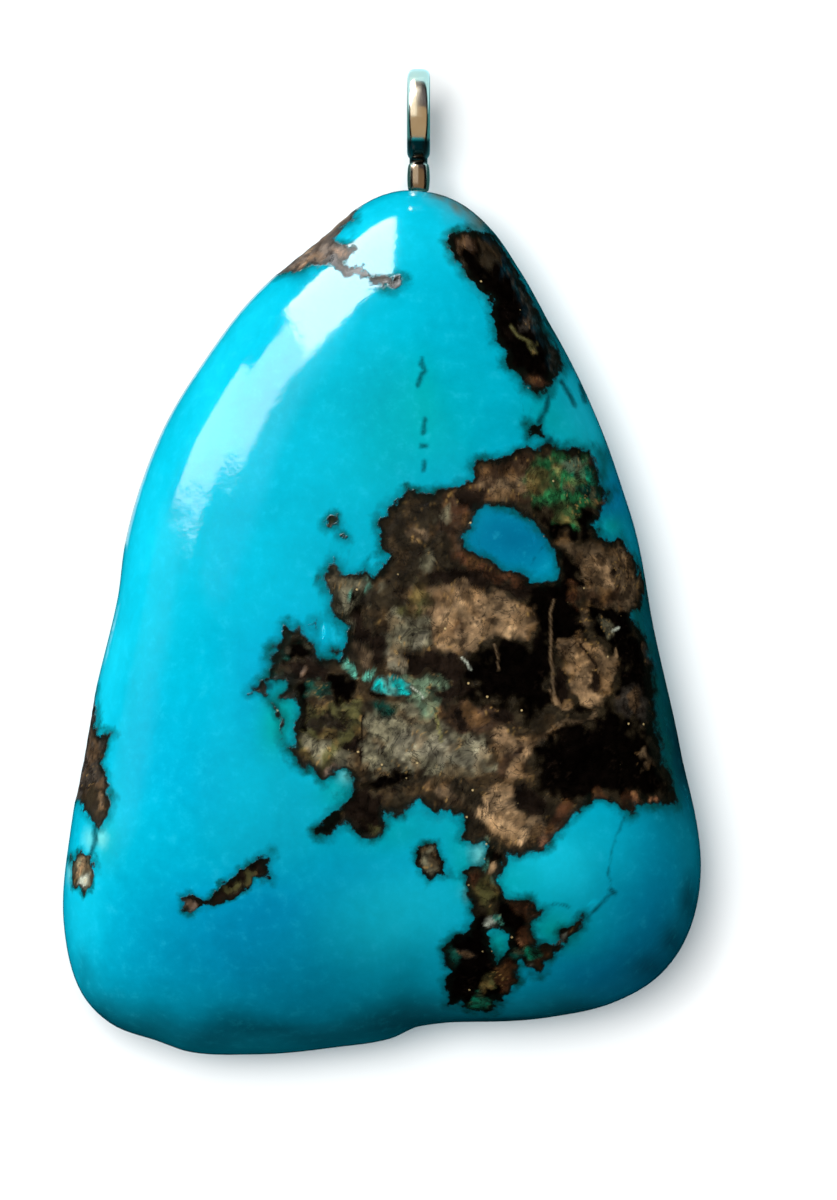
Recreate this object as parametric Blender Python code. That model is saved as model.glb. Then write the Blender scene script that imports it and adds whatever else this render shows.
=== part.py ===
"""A polished turquoise nugget pendant, lying on its flattened back.

+Z is up, +Y runs along the pendant to its hanging eye, and +X is to the right of the polished front.
The origin is on the surface that the pendant lies on, under the middle of its overall box.
"""

import math

import bmesh
import bpy
from mathutils import Matrix, Vector, noise

MM = 0.001

# Driving dimensions of the stone
FRONT_RISE = 7.0 * MM
BACK_DEPTH = 6.0 * MM
BACK_GROUND_OFF = 0.75 * MM
DOME_CENTRE = Vector((0.0, -5.5 * MM, 0.0))
BACK_POWER = 2.35

# The dome is fuller on its right: its fullness on the left and on the right, where 2 is an ellipse
LEFT_POWER = 2.25
RIGHT_POWER = 3.6
FULLEST_ANGLE = math.radians(-15)

# Widest outline of the stone in millimetres, anticlockwise from the right-hand corner of its broad end
GIRDLE_MM = (
    (13.2, -13.4), (12.4, -7.9), (11.3, -2.9), (10.25, 2.2), (8.95, 5.9), (7.1, 9.65),
    (5.7, 12.15), (4.6, 13.75), (3.2, 14.95), (1.5, 15.45), (0.1, 15.3), (-1.15, 14.65),
    (-2.65, 13.4), (-5.5, 10.9), (-7.4, 8.4), (-8.95, 5.9), (-10.0, 3.4), (-10.7, 0.9),
    (-11.05, -1.6), (-11.7, -4.3), (-12.4, -7.85), (-13.0, -11.2), (-13.27, -15.2), (-12.6, -17.85),
    (-11.3, -19.25), (-9.4, -19.95), (-8.0, -20.42), (-5.4, -20.52), (-2.2, -20.25), (0.35, -19.85),
    (1.5, -19.35), (3.4, -19.15), (6.9, -18.95), (9.5, -18.37), (11.4, -17.3), (12.6, -15.7),
)

# How far the fine outline carries up the dome, and how many harmonics its smoothed form keeps
SMOOTH_HARMONICS = 5
SMOOTH_SAMPLES = 240
DETAIL_FADE_POWER = 5

# Slow hollows and swells left by tumbling: centre x, centre y, reach and rise, in millimetres
SWELLS_MM = (
    (2.2, -17.0, 2.6, -0.35),
    (8.6, -13.0, 3.2, 0.22),
    (5.5, -3.5, 5.0, -0.20),
    (-6.5, -14.0, 5.0, 0.22),
    (9.4, -9.0, 2.4, -0.16),
)
TUMBLED_WAVE = 8.0 * MM
TUMBLED_RISE = 0.14 * MM

# How finely the stone is faceted
FACE_CELLS = 32
SIDE_CELLS = 10
FACE_EDGE_TILT = math.radians(60)

# Driving dimensions of the hanging eye
WIRE_WIDTH = 0.96 * MM
WIRE_SQUARENESS = 4
EYE_OUTER_DIAMETER = 3.8 * MM
EYE_TOP = 20.52 * MM
EYE_X = 1.5 * MM
EYE_HEIGHT = 5.25 * MM
EYE_STEPS = 40
WIRE_SIDES = 12
STEM_RADIUS = 0.375 * MM
COLLAR_RADIUS = 0.47 * MM
COLLAR_TOP = 16.56 * MM
COLLAR_FOOT = 15.42 * MM
COLLAR_FULLNESS = 0.5
COLLAR_ARC_STEPS = 8
PEG_RADIUS = 0.35 * MM
PEG_END = 10.6 * MM

# The drilled hole that the peg is cemented into
HOLE_CLEARANCE = 0.3 * MM
HOLE_MOUTH = 17.5 * MM
HOLE_SIDES = 24

TURQUOISE_COLOUR = (0.0, 0.42, 0.58, 1.0)
SILVER_COLOUR = (0.72, 0.69, 0.64, 1.0)

GIRDLE_HEIGHT = BACK_DEPTH - BACK_GROUND_OFF


def clear_scene():
    for obj in list(bpy.data.objects):
        bpy.data.objects.remove(obj)


def material(name, colour, metallic, roughness):
    made = bpy.data.materials.new(name)
    made.use_nodes = True
    shader = made.node_tree.nodes["Principled BSDF"]
    shader.inputs["Base Color"].default_value = colour
    shader.inputs["Metallic"].default_value = metallic
    shader.inputs["Roughness"].default_value = roughness
    return made


def add_object(name, bm, finish):
    mesh = bpy.data.meshes.new(name)
    bm.to_mesh(mesh)
    bm.free()
    mesh.materials.append(finish)
    mesh.shade_smooth()
    obj = bpy.data.objects.new(name, mesh)
    bpy.context.scene.collection.objects.link(obj)
    return obj


class Girdle:
    """The stone's widest outline, as a radius at each angle about the centre of the dome."""

    def __init__(self):
        knots = sorted(self.polar(Vector((x * MM, y * MM, 0.0))) for x, y in GIRDLE_MM)
        first, last = knots[0], knots[-1]
        before = (last[0] - math.tau, last[1])
        after = (first[0] + math.tau, first[1])
        self.knots = [before, *knots, after]
        step = math.tau / SMOOTH_SAMPLES
        samples = [(i * step, self.radius(i * step)) for i in range(SMOOTH_SAMPLES)]
        self.mean = sum(r for _, r in samples) / SMOOTH_SAMPLES
        self.waves = [
            (
                k,
                2 * sum(r * math.cos(k * a) for a, r in samples) / SMOOTH_SAMPLES,
                2 * sum(r * math.sin(k * a) for a, r in samples) / SMOOTH_SAMPLES,
            )
            for k in range(1, SMOOTH_HARMONICS + 1)
        ]

    @staticmethod
    def polar(point):
        arm = point - DOME_CENTRE
        return math.atan2(arm.y, arm.x) % math.tau, arm.length

    def slope(self, i):
        """Radius per radian at knot i, from the knots on its two sides."""
        if i == 0:
            i = len(self.knots) - 2
        elif i == len(self.knots) - 1:
            i = 1
        (a0, r0), (a1, r1) = self.knots[i - 1], self.knots[i + 1]
        return (r1 - r0) / (a1 - a0)

    def radius(self, angle):
        """The outline's own radius, on a smooth cubic through its points."""
        angle %= math.tau
        i = max(n for n, (a, _) in enumerate(self.knots[:-1]) if a <= angle)
        (a0, r0), (a1, r1) = self.knots[i], self.knots[i + 1]
        span = a1 - a0
        t = (angle - a0) / span
        lift = (1 + 2 * t) * (1 - t) ** 2 * r0 + t * t * (3 - 2 * t) * r1
        lean = t * (1 - t) ** 2 * self.slope(i) - t * t * (1 - t) * self.slope(i + 1)
        return lift + lean * span

    def smooth_radius(self, angle):
        """The outline with only its broad form, which the top of the dome keeps."""
        return self.mean + sum(c * math.cos(k * angle) + s * math.sin(k * angle) for k, c, s in self.waves)


def disc_angle(x, y):
    """The angle of a point of a square once the square is rounded into a disc, ring by ring."""
    if x == 0 and y == 0:
        return 0.0
    quarter = math.pi / 4
    if abs(x) >= abs(y):
        return quarter * y / x + (math.pi if x < 0 else 0.0)
    return math.pi / 2 - quarter * x / y + (math.pi if y < 0 else 0.0)


def stone_point(girdle, angle, tilt):
    """A point of the stone's surface, at this angle about +Z and this tilt from it."""
    front = tilt <= math.pi / 2
    power = front_power(angle) if front else BACK_POWER
    depth = FRONT_RISE if front else BACK_DEPTH
    across, up = math.sin(tilt), math.cos(tilt)
    reach = (across**power + abs(up) ** power) ** (-1 / power)
    share = reach * across
    smooth = girdle.smooth_radius(angle)
    radius = smooth + (girdle.radius(angle) - smooth) * share**DETAIL_FADE_POWER
    flat = Vector((math.cos(angle), math.sin(angle), 0.0)) * share * radius
    point = DOME_CENTRE + flat + Vector((0.0, 0.0, reach * up * depth))
    return point + Vector((0.0, 0.0, swell(point) * reach * up))


def front_power(angle):
    """How full the dome is at this angle."""
    fuller = ((1 + math.cos(angle - FULLEST_ANGLE)) / 2) ** 2
    return LEFT_POWER + (RIGHT_POWER - LEFT_POWER) * fuller


def swell(point):
    """How far tumbling left the surface above or below the plain dome."""
    rise = TUMBLED_RISE * noise.noise(point / TUMBLED_WAVE)
    for x, y, reach, height in SWELLS_MM if point.z > 0 else ():
        away = math.hypot(point.x - x * MM, point.y - y * MM) / (reach * MM)
        rise += height * MM * math.exp(-away * away)
    return rise


def stone_mesh():
    """A box divided into cells, each corner of which is carried out to the stone's surface."""
    bm = bmesh.new()
    bmesh.ops.create_cube(bm, size=2)
    upright = [e for e in bm.edges if abs(e.verts[0].co.z - e.verts[1].co.z) > 1]
    bmesh.ops.subdivide_edges(bm, edges=upright, cuts=SIDE_CELLS - 1, use_grid_fill=True)
    for axis in (0, 1):
        along = [e for e in bm.edges if abs(e.verts[0].co[axis] - e.verts[1].co[axis]) > 1]
        bmesh.ops.subdivide_edges(bm, edges=along, cuts=FACE_CELLS - 1, use_grid_fill=True)
    girdle = Girdle()
    for vert in bm.verts:
        x, y, z = vert.co
        ring = max(abs(x), abs(y))
        if z > 0.9999:
            tilt = FACE_EDGE_TILT * ring
        elif z < -0.9999:
            tilt = math.pi - FACE_EDGE_TILT * ring
        else:
            tilt = math.pi / 2 - z * (math.pi / 2 - FACE_EDGE_TILT)
        vert.co = stone_point(girdle, disc_angle(x, y), tilt) + Vector((0.0, 0.0, GIRDLE_HEIGHT))
    return bm


def grind_back(bm):
    """Cuts the back off flat, on the plane that the pendant lies on."""
    everything = bm.verts[:] + bm.edges[:] + bm.faces[:]
    cut = bmesh.ops.bisect_plane(
        bm, geom=everything, dist=1e-8, plane_co=(0, 0, 0), plane_no=(0, 0, -1), clear_outer=True
    )
    rim = [e for e in cut["geom_cut"] if isinstance(e, bmesh.types.BMEdge)]
    bmesh.ops.contextual_create(bm, geom=rim)
    bmesh.ops.recalc_face_normals(bm, faces=bm.faces[:])


def drill_cutter():
    """The round bar that the stone's hole is cut with, along the peg."""
    bm = bmesh.new()
    length = HOLE_MOUTH - PEG_END + HOLE_CLEARANCE
    radius = PEG_RADIUS + HOLE_CLEARANCE
    bmesh.ops.create_cone(
        bm, cap_ends=True, segments=HOLE_SIDES, radius1=radius, radius2=radius, depth=length,
        matrix=Matrix.Rotation(math.radians(-90), 4, "X"),
    )
    mesh = bpy.data.meshes.new("drill")
    bm.to_mesh(mesh)
    bm.free()
    cutter = bpy.data.objects.new("drill", mesh)
    cutter.location = (EYE_X, HOLE_MOUTH - length / 2, EYE_HEIGHT)
    cutter.hide_render = True
    cutter.display_type = "WIRE"
    bpy.context.scene.collection.objects.link(cutter)
    return cutter


def make_stone():
    bm = stone_mesh()
    grind_back(bm)
    finish = material("polished turquoise", TURQUOISE_COLOUR, metallic=0.0, roughness=0.15)
    stone = add_object("turquoise_nugget", bm, finish)
    drilling = stone.modifiers.new("drilled hole", "BOOLEAN")
    drilling.operation = "DIFFERENCE"
    drilling.solver = "EXACT"
    drilling.object = drill_cutter()
    return stone


def collar_profile():
    """Radius and height of the stem, from inside the eye's wire to the end of the peg."""
    stem_top = EYE_TOP - EYE_OUTER_DIAMETER + WIRE_WIDTH / 2
    middle = (COLLAR_TOP + COLLAR_FOOT) / 2
    half = (COLLAR_TOP - COLLAR_FOOT) / 2
    points = [(0.0, stem_top), (STEM_RADIUS, stem_top)]
    for i in range(COLLAR_ARC_STEPS + 1):
        turn = math.pi * i / COLLAR_ARC_STEPS
        radius = STEM_RADIUS + (COLLAR_RADIUS - STEM_RADIUS) * abs(math.sin(turn)) ** COLLAR_FULLNESS
        points.append((radius, middle + half * math.cos(turn)))
    points += [(PEG_RADIUS, COLLAR_FOOT), (PEG_RADIUS, PEG_END), (0.0, PEG_END)]
    return points


def stem_mesh():
    """The collar and peg, turned about the pendant's length."""
    bm = bmesh.new()
    verts = [bm.verts.new((radius, height, 0.0)) for radius, height in collar_profile()]
    edges = [bm.edges.new(pair) for pair in zip(verts, verts[1:])]
    bmesh.ops.spin(
        bm, geom=verts + edges, cent=(0, 0, 0), axis=(0, 1, 0), angle=math.tau, steps=WIRE_SIDES,
        use_merge=True,
    )
    bmesh.ops.remove_doubles(bm, verts=bm.verts[:], dist=1e-7)
    bmesh.ops.recalc_face_normals(bm, faces=bm.faces[:])
    return bm


def squared(point):
    """A point of the round wire once rolling has squared the wire, with its width kept."""
    flat = (abs(point.x) ** WIRE_SQUARENESS + abs(point.y) ** WIRE_SQUARENESS) ** (1 / WIRE_SQUARENESS)
    return point * (point.length / flat)


def eye_mesh():
    """The ring of squared wire, in the plane that holds the pendant's length and its thickness."""
    bm = bmesh.new()
    section = bmesh.ops.create_circle(bm, segments=WIRE_SIDES, radius=WIRE_WIDTH / 2)
    for vert in section["verts"]:
        vert.co = squared(vert.co) + Vector((0.0, (EYE_OUTER_DIAMETER - WIRE_WIDTH) / 2, 0.0))
    edges = list({e for v in section["verts"] for e in v.link_edges})
    bmesh.ops.spin(
        bm, geom=section["verts"] + edges, cent=(0, 0, 0), axis=(1, 0, 0), angle=math.tau, steps=EYE_STEPS,
        use_merge=True,
    )
    bmesh.ops.remove_doubles(bm, verts=bm.verts[:], dist=1e-7)
    bmesh.ops.recalc_face_normals(bm, faces=bm.faces[:])
    return bm


def make_hanging_eye():
    finish = material("polished silver", SILVER_COLOUR, metallic=1.0, roughness=0.2)
    stem = add_object("hanging_eye", stem_mesh(), finish)
    stem.location = (EYE_X, 0.0, EYE_HEIGHT)
    ring = add_object("eye_ring", eye_mesh(), finish)
    ring.location = (EYE_X, EYE_TOP - EYE_OUTER_DIAMETER / 2, EYE_HEIGHT)
    ring.hide_render = True
    ring.display_type = "WIRE"
    joining = stem.modifiers.new("ring soldered on", "BOOLEAN")
    joining.operation = "UNION"
    joining.solver = "EXACT"
    joining.object = ring
    return stem


def main():
    clear_scene()
    make_stone()
    make_hanging_eye()


main()
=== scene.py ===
"""A polished turquoise nugget pendant: its stone, its hanging eye, and the table it is photographed on."""

import math

import bmesh
import bpy
import numpy as np
from mathutils import Matrix, Vector, noise


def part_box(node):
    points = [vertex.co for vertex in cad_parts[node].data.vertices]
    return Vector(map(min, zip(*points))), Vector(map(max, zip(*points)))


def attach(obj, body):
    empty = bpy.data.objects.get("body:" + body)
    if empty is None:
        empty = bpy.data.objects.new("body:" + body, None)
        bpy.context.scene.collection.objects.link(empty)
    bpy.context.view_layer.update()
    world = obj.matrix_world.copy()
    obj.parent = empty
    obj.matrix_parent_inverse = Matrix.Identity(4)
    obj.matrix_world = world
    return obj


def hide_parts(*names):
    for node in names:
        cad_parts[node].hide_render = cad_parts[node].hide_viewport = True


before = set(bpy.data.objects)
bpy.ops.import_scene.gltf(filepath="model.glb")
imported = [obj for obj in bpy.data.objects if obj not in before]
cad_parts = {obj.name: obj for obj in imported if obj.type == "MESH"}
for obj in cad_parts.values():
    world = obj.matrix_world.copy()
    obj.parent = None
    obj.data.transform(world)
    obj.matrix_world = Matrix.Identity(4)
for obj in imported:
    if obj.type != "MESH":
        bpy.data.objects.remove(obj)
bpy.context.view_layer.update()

bl_info = {
    "name": "Turquoise nugget pendant",
    "version": (1, 0, 0),
    "blender": (4, 5, 0),
    "location": "View3D > Sidebar > Nugget",
    "description": "Builds a polished turquoise nugget with its hanging eye, lying on a pale table",
    "category": "Add Mesh",
}

MM = 0.001
STONE_NODE = "turquoise_nugget"
EYE_NODE = "hanging_eye"
EYE_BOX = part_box(EYE_NODE)
EYE_X = (EYE_BOX[0].x + EYE_BOX[1].x) / 2
EYE_HEIGHT = (EYE_BOX[0].z + EYE_BOX[1].z) / 2


def linear(code):
    """An sRGB hex value as the linear colour that a shader takes."""
    channels = [int(code[i : i + 2], 16) / 255 for i in (1, 3, 5)]
    return tuple(c / 12.92 if c <= 0.04045 else ((c + 0.055) / 1.055) ** 2.4 for c in channels)


# Widest outline of the stone in millimetres, anticlockwise from the right-hand corner of its broad end
GIRDLE_MM = (
    (13.2, -13.4), (12.4, -7.9), (11.3, -2.9), (10.25, 2.2), (8.95, 5.9), (7.1, 9.65),
    (5.7, 12.15), (4.6, 13.75), (3.2, 14.95), (1.5, 15.45), (0.1, 15.3), (-1.15, 14.65),
    (-2.65, 13.4), (-5.5, 10.9), (-7.4, 8.4), (-8.95, 5.9), (-10.0, 3.4), (-10.7, 0.9),
    (-11.05, -1.6), (-11.7, -4.3), (-12.4, -7.85), (-13.0, -11.2), (-13.27, -15.2), (-12.6, -17.85),
    (-11.3, -19.25), (-9.4, -19.95), (-8.0, -20.42), (-5.4, -20.52), (-2.2, -20.25), (0.35, -19.85),
    (1.5, -19.35), (3.4, -19.15), (6.9, -18.95), (9.5, -18.37), (11.4, -17.3), (12.6, -15.7),
)
DOME_CENTRE_MM = np.array((0.0, -5.5))
SMOOTH_HARMONICS = 5
SMOOTH_SAMPLES = 240
DETAIL_FADE_POWER = 5
FACE_EDGE_TILT = math.radians(60)
FULLEST_ANGLE = math.radians(-15)

# Slow hollows and swells left by tumbling: centre x, centre y, reach and rise, in millimetres
SWELLS_MM = (
    (2.2, -17.0, 2.6, -0.35),
    (8.6, -13.0, 3.2, 0.22),
    (5.5, -3.5, 5.0, -0.20),
    (-6.5, -14.0, 5.0, 0.22),
    (9.4, -9.0, 2.4, -0.16),
)
TUMBLED_WAVE_MM = 8.0
TUMBLED_RISE_MM = 0.14

# Edges of the host rock seen on the polished front, in millimetres
HOST_OUTLINES_MM = {
    "main patch": ((4.0, 4.15), (3.65, 3.9), (3.8, 3.5), (3.4, 3.25), (3.1, 3.05), (2.7, 2.9), (1.85, 2.75),
        (1.4, 2.85), (1.0, 3.08), (0.85, 2.9), (0.77, 2.6), (0.5, 2.4), (0.15, 2.3), (0.15, 1.85),
        (-0.2, 1.8), (-0.2, 1.3), (-0.05, 0.9), (0.0, 0.4), (0.3, 0.15), (0.1, -0.1), (-0.1, -0.5),
        (-0.35, -0.75), (-0.55, -0.5), (-0.7, -0.35), (-0.95, -0.6), (-1.3, -0.55), (-1.7, -0.45),
        (-1.95, 0.1), (-2.15, -0.35), (-2.5, -0.7), (-2.25, -1.0), (-2.1, -1.4), (-2.05, -1.9),
        (-1.9, -2.3), (-1.6, -2.55), (-1.4, -2.75), (-1.45, -3.6), (-2.0, -3.65), (-1.95, -3.85),
        (-2.3, -4.05), (-2.65, -3.9), (-2.8, -3.4), (-3.1, -3.1), (-3.2, -2.85), (-3.6, -2.75),
        (-3.95, -2.55), (-4.1, -3.1), (-4.45, -3.6), (-4.6, -4.2), (-4.7, -4.8), (-5.1, -5.15),
        (-5.45, -5.35), (-4.9, -5.35), (-4.55, -5.7), (-4.3, -6.1), (-4.1, -6.5), (-4.15, -7.1),
        (-3.95, -7.6), (-3.6, -8.1), (-3.3, -8.5), (-3.0, -8.4), (-2.65, -8.5), (-2.6, -8.85),
        (-2.3, -9.05), (-2.0, -8.85), (-1.8, -8.55), (-1.5, -8.45), (-1.2, -8.8), (-1.2, -9.3),
        (-1.5, -9.75), (-2.1, -10.3), (-2.35, -10.75), (-2.8, -10.95), (-2.6, -11.3), (-2.1, -11.2),
        (-1.8, -10.8), (-1.45, -10.65), (-1.1, -10.85), (-0.85, -11.3), (-0.4, -11.45), (0.0, -11.2),
        (0.15, -10.85), (0.1, -10.35), (0.9, -10.3), (1.2, -10.0), (1.5, -9.8), (1.85, -10.1), (2.2, -10.4),
        (2.45, -10.35), (2.75, -10.15), (3.15, -10.3), (3.3, -10.75), (3.25, -11.2), (3.7, -11.5),
        (4.5, -11.45), (4.95, -11.9), (5.6, -12.05), (6.3, -11.95), (6.9, -11.6), (7.3, -10.9),
        (7.7, -10.5), (8.3, -9.9), (8.9, -9.75), (9.5, -9.85), (9.75, -10.1), (10.05, -10.45),
        (10.4, -10.3), (10.4, -9.95), (11.4, -9.9), (12.1, -10.15), (12.0, -9.3), (11.5, -8.0),
        (11.3, -6.6), (11.25, -5.0), (11.3, -4.2), (10.9, -3.3), (10.3, -2.3), (10.9, -1.5), (10.8, -0.7),
        (10.3, 0.4), (9.8, 0.95), (9.3, 0.75), (8.95, 0.95), (8.75, 1.5), (9.0, 1.9), (9.2, 2.4),
        (9.1, 3.0), (9.0, 3.5), (8.9, 4.0), (8.6, 4.5), (8.1, 4.75), (7.4, 4.6), (6.9, 4.75), (6.2, 4.62),
        (5.5, 4.6), (5.2, 4.35), (4.9, 4.15), (4.5, 4.2)),
    "upper left": ((-4.5, 11.9), (-6.0, 12.6), (-3.4, 15.2), (-1.1, 14.6), (-1.1, 14.15), (-1.7, 13.8),
        (-2.05, 13.4), (-1.6, 13.05), (-0.95, 12.85), (-1.25, 12.65), (-1.55, 12.4), (-1.35, 12.15),
        (-0.85, 12.2), (-0.6, 11.95), (-0.5, 11.75), (0.05, 11.72), (0.45, 11.55), (0.75, 11.75),
        (0.95, 11.6), (0.8, 11.3), (0.5, 11.15), (0.15, 11.3), (-0.35, 11.3), (-0.6, 11.65), (-1.1, 11.8),
        (-1.6, 11.75), (-1.75, 12.05), (-2.3, 12.3), (-3.1, 12.2), (-3.5, 12.0)),
    "upper right": ((2.6, 13.15), (2.85, 13.55), (3.45, 13.7), (4.0, 13.6), (4.3, 13.8), (4.9, 13.2),
        (5.5, 12.2), (6.1, 11.1), (6.7, 9.9), (7.35, 8.7), (7.5, 8.0), (7.0, 7.4), (6.85, 6.95),
        (6.25, 6.85), (5.9, 7.05), (5.6, 7.7), (5.0, 8.1), (5.1, 8.5), (4.7, 9.0), (4.6, 9.7), (4.55, 10.4),
        (4.4, 10.9), (4.0, 11.15), (3.5, 11.7), (3.2, 12.2), (2.9, 12.7)),
    "left edge": ((-11.95, -5.3), (-11.9, -6.4), (-11.85, -7.2), (-11.15, -7.05), (-11.4, -7.6),
        (-11.55, -8.3), (-11.3, -9.1), (-11.2, -9.9), (-11.3, -10.6), (-11.7, -10.95), (-12.1, -10.7),
        (-12.55, -9.95), (-13.4, -9.9), (-13.0, -7.0), (-12.6, -5.0)),
    "left pebble": ((-12.85, -12.2), (-12.5, -12.05), (-12.0, -12.15), (-11.8, -12.8), (-11.95, -13.4),
        (-12.35, -13.75), (-12.75, -13.4), (-12.8, -12.8)),
    "spindle": ((-8.2, -14.2), (-8.2, -13.85), (-7.85, -13.6), (-7.5, -13.88), (-7.1, -13.8),
        (-6.6, -13.35), (-5.85, -12.7), (-5.2, -12.2), (-4.45, -11.9), (-4.8, -12.45), (-4.45, -13.05),
        (-5.1, -12.95), (-5.5, -13.45), (-6.0, -13.75), (-6.8, -14.0), (-7.45, -14.2), (-7.9, -14.4)),
    "nut": ((1.45, -11.75), (1.7, -11.55), (2.3, -11.6), (2.4, -12.1), (2.5, -12.6), (2.75, -12.85),
        (2.2, -12.8), (1.85, -13.1), (1.6, -12.75), (1.4, -12.2)),
    "bottom vein": ((3.3, -12.7), (3.6, -12.5), (4.0, -12.6), (4.2, -12.4), (4.25, -11.9), (4.2, -11.3),
        (5.0, -11.5), (5.05, -12.3), (4.75, -12.8), (4.9, -13.4), (5.1, -13.8), (5.6, -13.95), (6.1, -13.8),
        (6.25, -14.2), (6.75, -14.2), (6.5, -14.55), (6.1, -14.7), (6.15, -15.5), (6.3, -15.95),
        (6.6, -15.75), (6.95, -15.95), (7.3, -15.3), (7.8, -15.1), (8.25, -14.5), (8.35, -14.65),
        (7.9, -15.35), (7.2, -15.95), (6.75, -16.4), (6.5, -16.9), (6.15, -16.75), (5.7, -16.4),
        (5.6, -17.2), (5.15, -17.9), (4.9, -18.2), (4.6, -18.15), (4.6, -18.5), (4.0, -18.65), (3.5, -18.5),
        (3.3, -18.3), (2.75, -18.3), (2.6, -17.3), (2.85, -16.8), (2.6, -16.4), (2.45, -15.85),
        (2.9, -15.45), (3.4, -15.2), (3.75, -14.75), (3.6, -14.0), (3.55, -13.5), (3.4, -13.2)),
    "fleck": ((-2.4, 1.45), (-2.15, 1.8), (-1.9, 1.85), (-1.8, 1.65), (-2.0, 1.4), (-2.25, 1.35)),
    "small fleck": ((-1.7, 1.15), (-1.6, 1.15), (-1.4, 0.95), (-1.6, 0.95)),
    "stray fleck": ((-2.85, -2.55), (-2.6, -2.4), (-2.65, -2.6)),
    "knot": ((5.9, 5.7), (6.3, 5.65), (6.5, 5.75), (6.55, 5.4), (6.7, 5.1), (6.35, 5.15), (6.0, 4.9),
        (6.08, 5.3)),
    "far rim": ((9.4, 2.9), (9.0, 2.5), (9.1, 2.2)),
}

# Turquoise enclosed by the host rock, in millimetres
WINDOW_OUTLINES_MM = {
    "window": ((3.85, 2.1), (4.1, 2.25), (4.7, 2.25), (5.1, 2.2), (5.9, 1.85), (6.2, 1.5), (6.6, 1.1),
        (6.85, 0.7), (7.1, 0.35), (7.25, -0.4), (7.1, -0.8), (6.6, -0.9), (6.1, -0.85), (5.8, -0.5),
        (5.0, -0.35), (4.6, -0.1), (4.1, 0.2), (3.6, 0.45), (3.3, 0.6), (3.25, 0.95), (3.6, 1.35),
        (3.75, 1.75)),
    "vein islet": ((4.3, -15.25), (4.7, -15.05), (5.15, -15.3), (5.15, -15.85), (4.75, -16.5),
        (4.5, -15.9)),
    "dark bay": ((-4.7, -4.95), (-4.2, -4.85), (-3.75, -5.0), (-4.05, -5.35), (-4.35, -5.6), (-3.6, -5.7),
        (-3.4, -6.0), (-3.55, -6.9), (-3.5, -7.6), (-3.85, -7.7), (-4.05, -7.2), (-3.95, -6.5),
        (-4.35, -6.0), (-4.7, -5.6)),
    "cleft": ((-2.0, -3.95), (-1.65, -3.75), (-1.55, -3.95), (-1.75, -4.1)),
}

# Host-rock patches on the ground back, in millimetres as seen from the front
BACK_OUTLINES_MM = {
    "back patch": ((-5.5, 4.0), (-4.2, 4.6), (-3.0, 3.8), (-1.6, 4.3), (-0.3, 3.2), (0.4, 1.6), (-0.2, 0.3),
        (0.9, -0.9), (0.6, -2.4), (-0.7, -3.2), (-1.1, -4.7), (-2.4, -5.3), (-3.2, -4.2), (-4.7, -4.5),
        (-5.9, -3.1), (-5.3, -1.6), (-6.4, -0.2), (-6.0, 1.5), (-6.8, 2.8)),
    "back vein": ((-0.9, -4.4), (0.3, -5.6), (1.4, -6.3), (2.8, -8.2), (3.3, -9.7), (4.9, -11.2),
        (6.8, -11.6), (8.2, -13.1), (9.0, -15.2), (8.3, -15.3), (7.2, -13.4), (5.8, -12.5), (4.1, -12.2),
        (2.6, -10.6), (1.9, -8.8), (0.6, -7.1), (-0.5, -6.3), (-1.4, -5.0)),
    "back knot": ((-7.6, -12.6), (-6.2, -12.1), (-5.1, -13.0), (-5.4, -14.5), (-6.9, -15.2), (-8.0, -14.0)),
    "back chip": ((2.6, 7.2), (3.8, 7.5), (4.1, 6.2), (3.1, 5.4), (2.3, 6.2)),
}

# What the host rock is made of: colour and roughness of its polished surface
MINERALS = {
    "umber": ("#292216", 0.32),
    "soot": ("#1A120C", 0.25),
    "jet": ("#050302", 0.12),
    "brown": ("#402E1E", 0.34),
    "drab": ("#64513A", 0.36),
    "tan": ("#806648", 0.38),
    "sand": ("#9A7D5A", 0.38),
    "ash": ("#68634D", 0.34),
    "pale ash": ("#807A64", 0.36),
    "rust": ("#472B18", 0.36),
    "clay": ("#9C6846", 0.40),
    "bronze": ("#6E4E28", 0.32),
    "ink": ("#082129", 0.14),
    # Dark teal, laid partly as painted shade along the upper right rim
    "slate_and_rim_shade": ("#10545E", 0.16),
    "olive": ("#4F4C2A", 0.32),
    "straw": ("#7E7A45", 0.30),
    "moss": ("#267040", 0.28),
    "jade": ("#108060", 0.22),
    "sage": ("#6A8468", 0.28),
    "pine": ("#0C3A30", 0.24),
    "teal": ("#08A09C", 0.16),
    "verdigris": ("#5DB49C", 0.24),
    "quartz": ("#C6CDBA", 0.24),
    "taupe": ("#4C4239", 0.58),
    "rose taupe": ("#77614F", 0.58),
    "smoke": ("#38322B", 0.28),
    "gilt": ("#B08A4C", 0.30),
}

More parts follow.
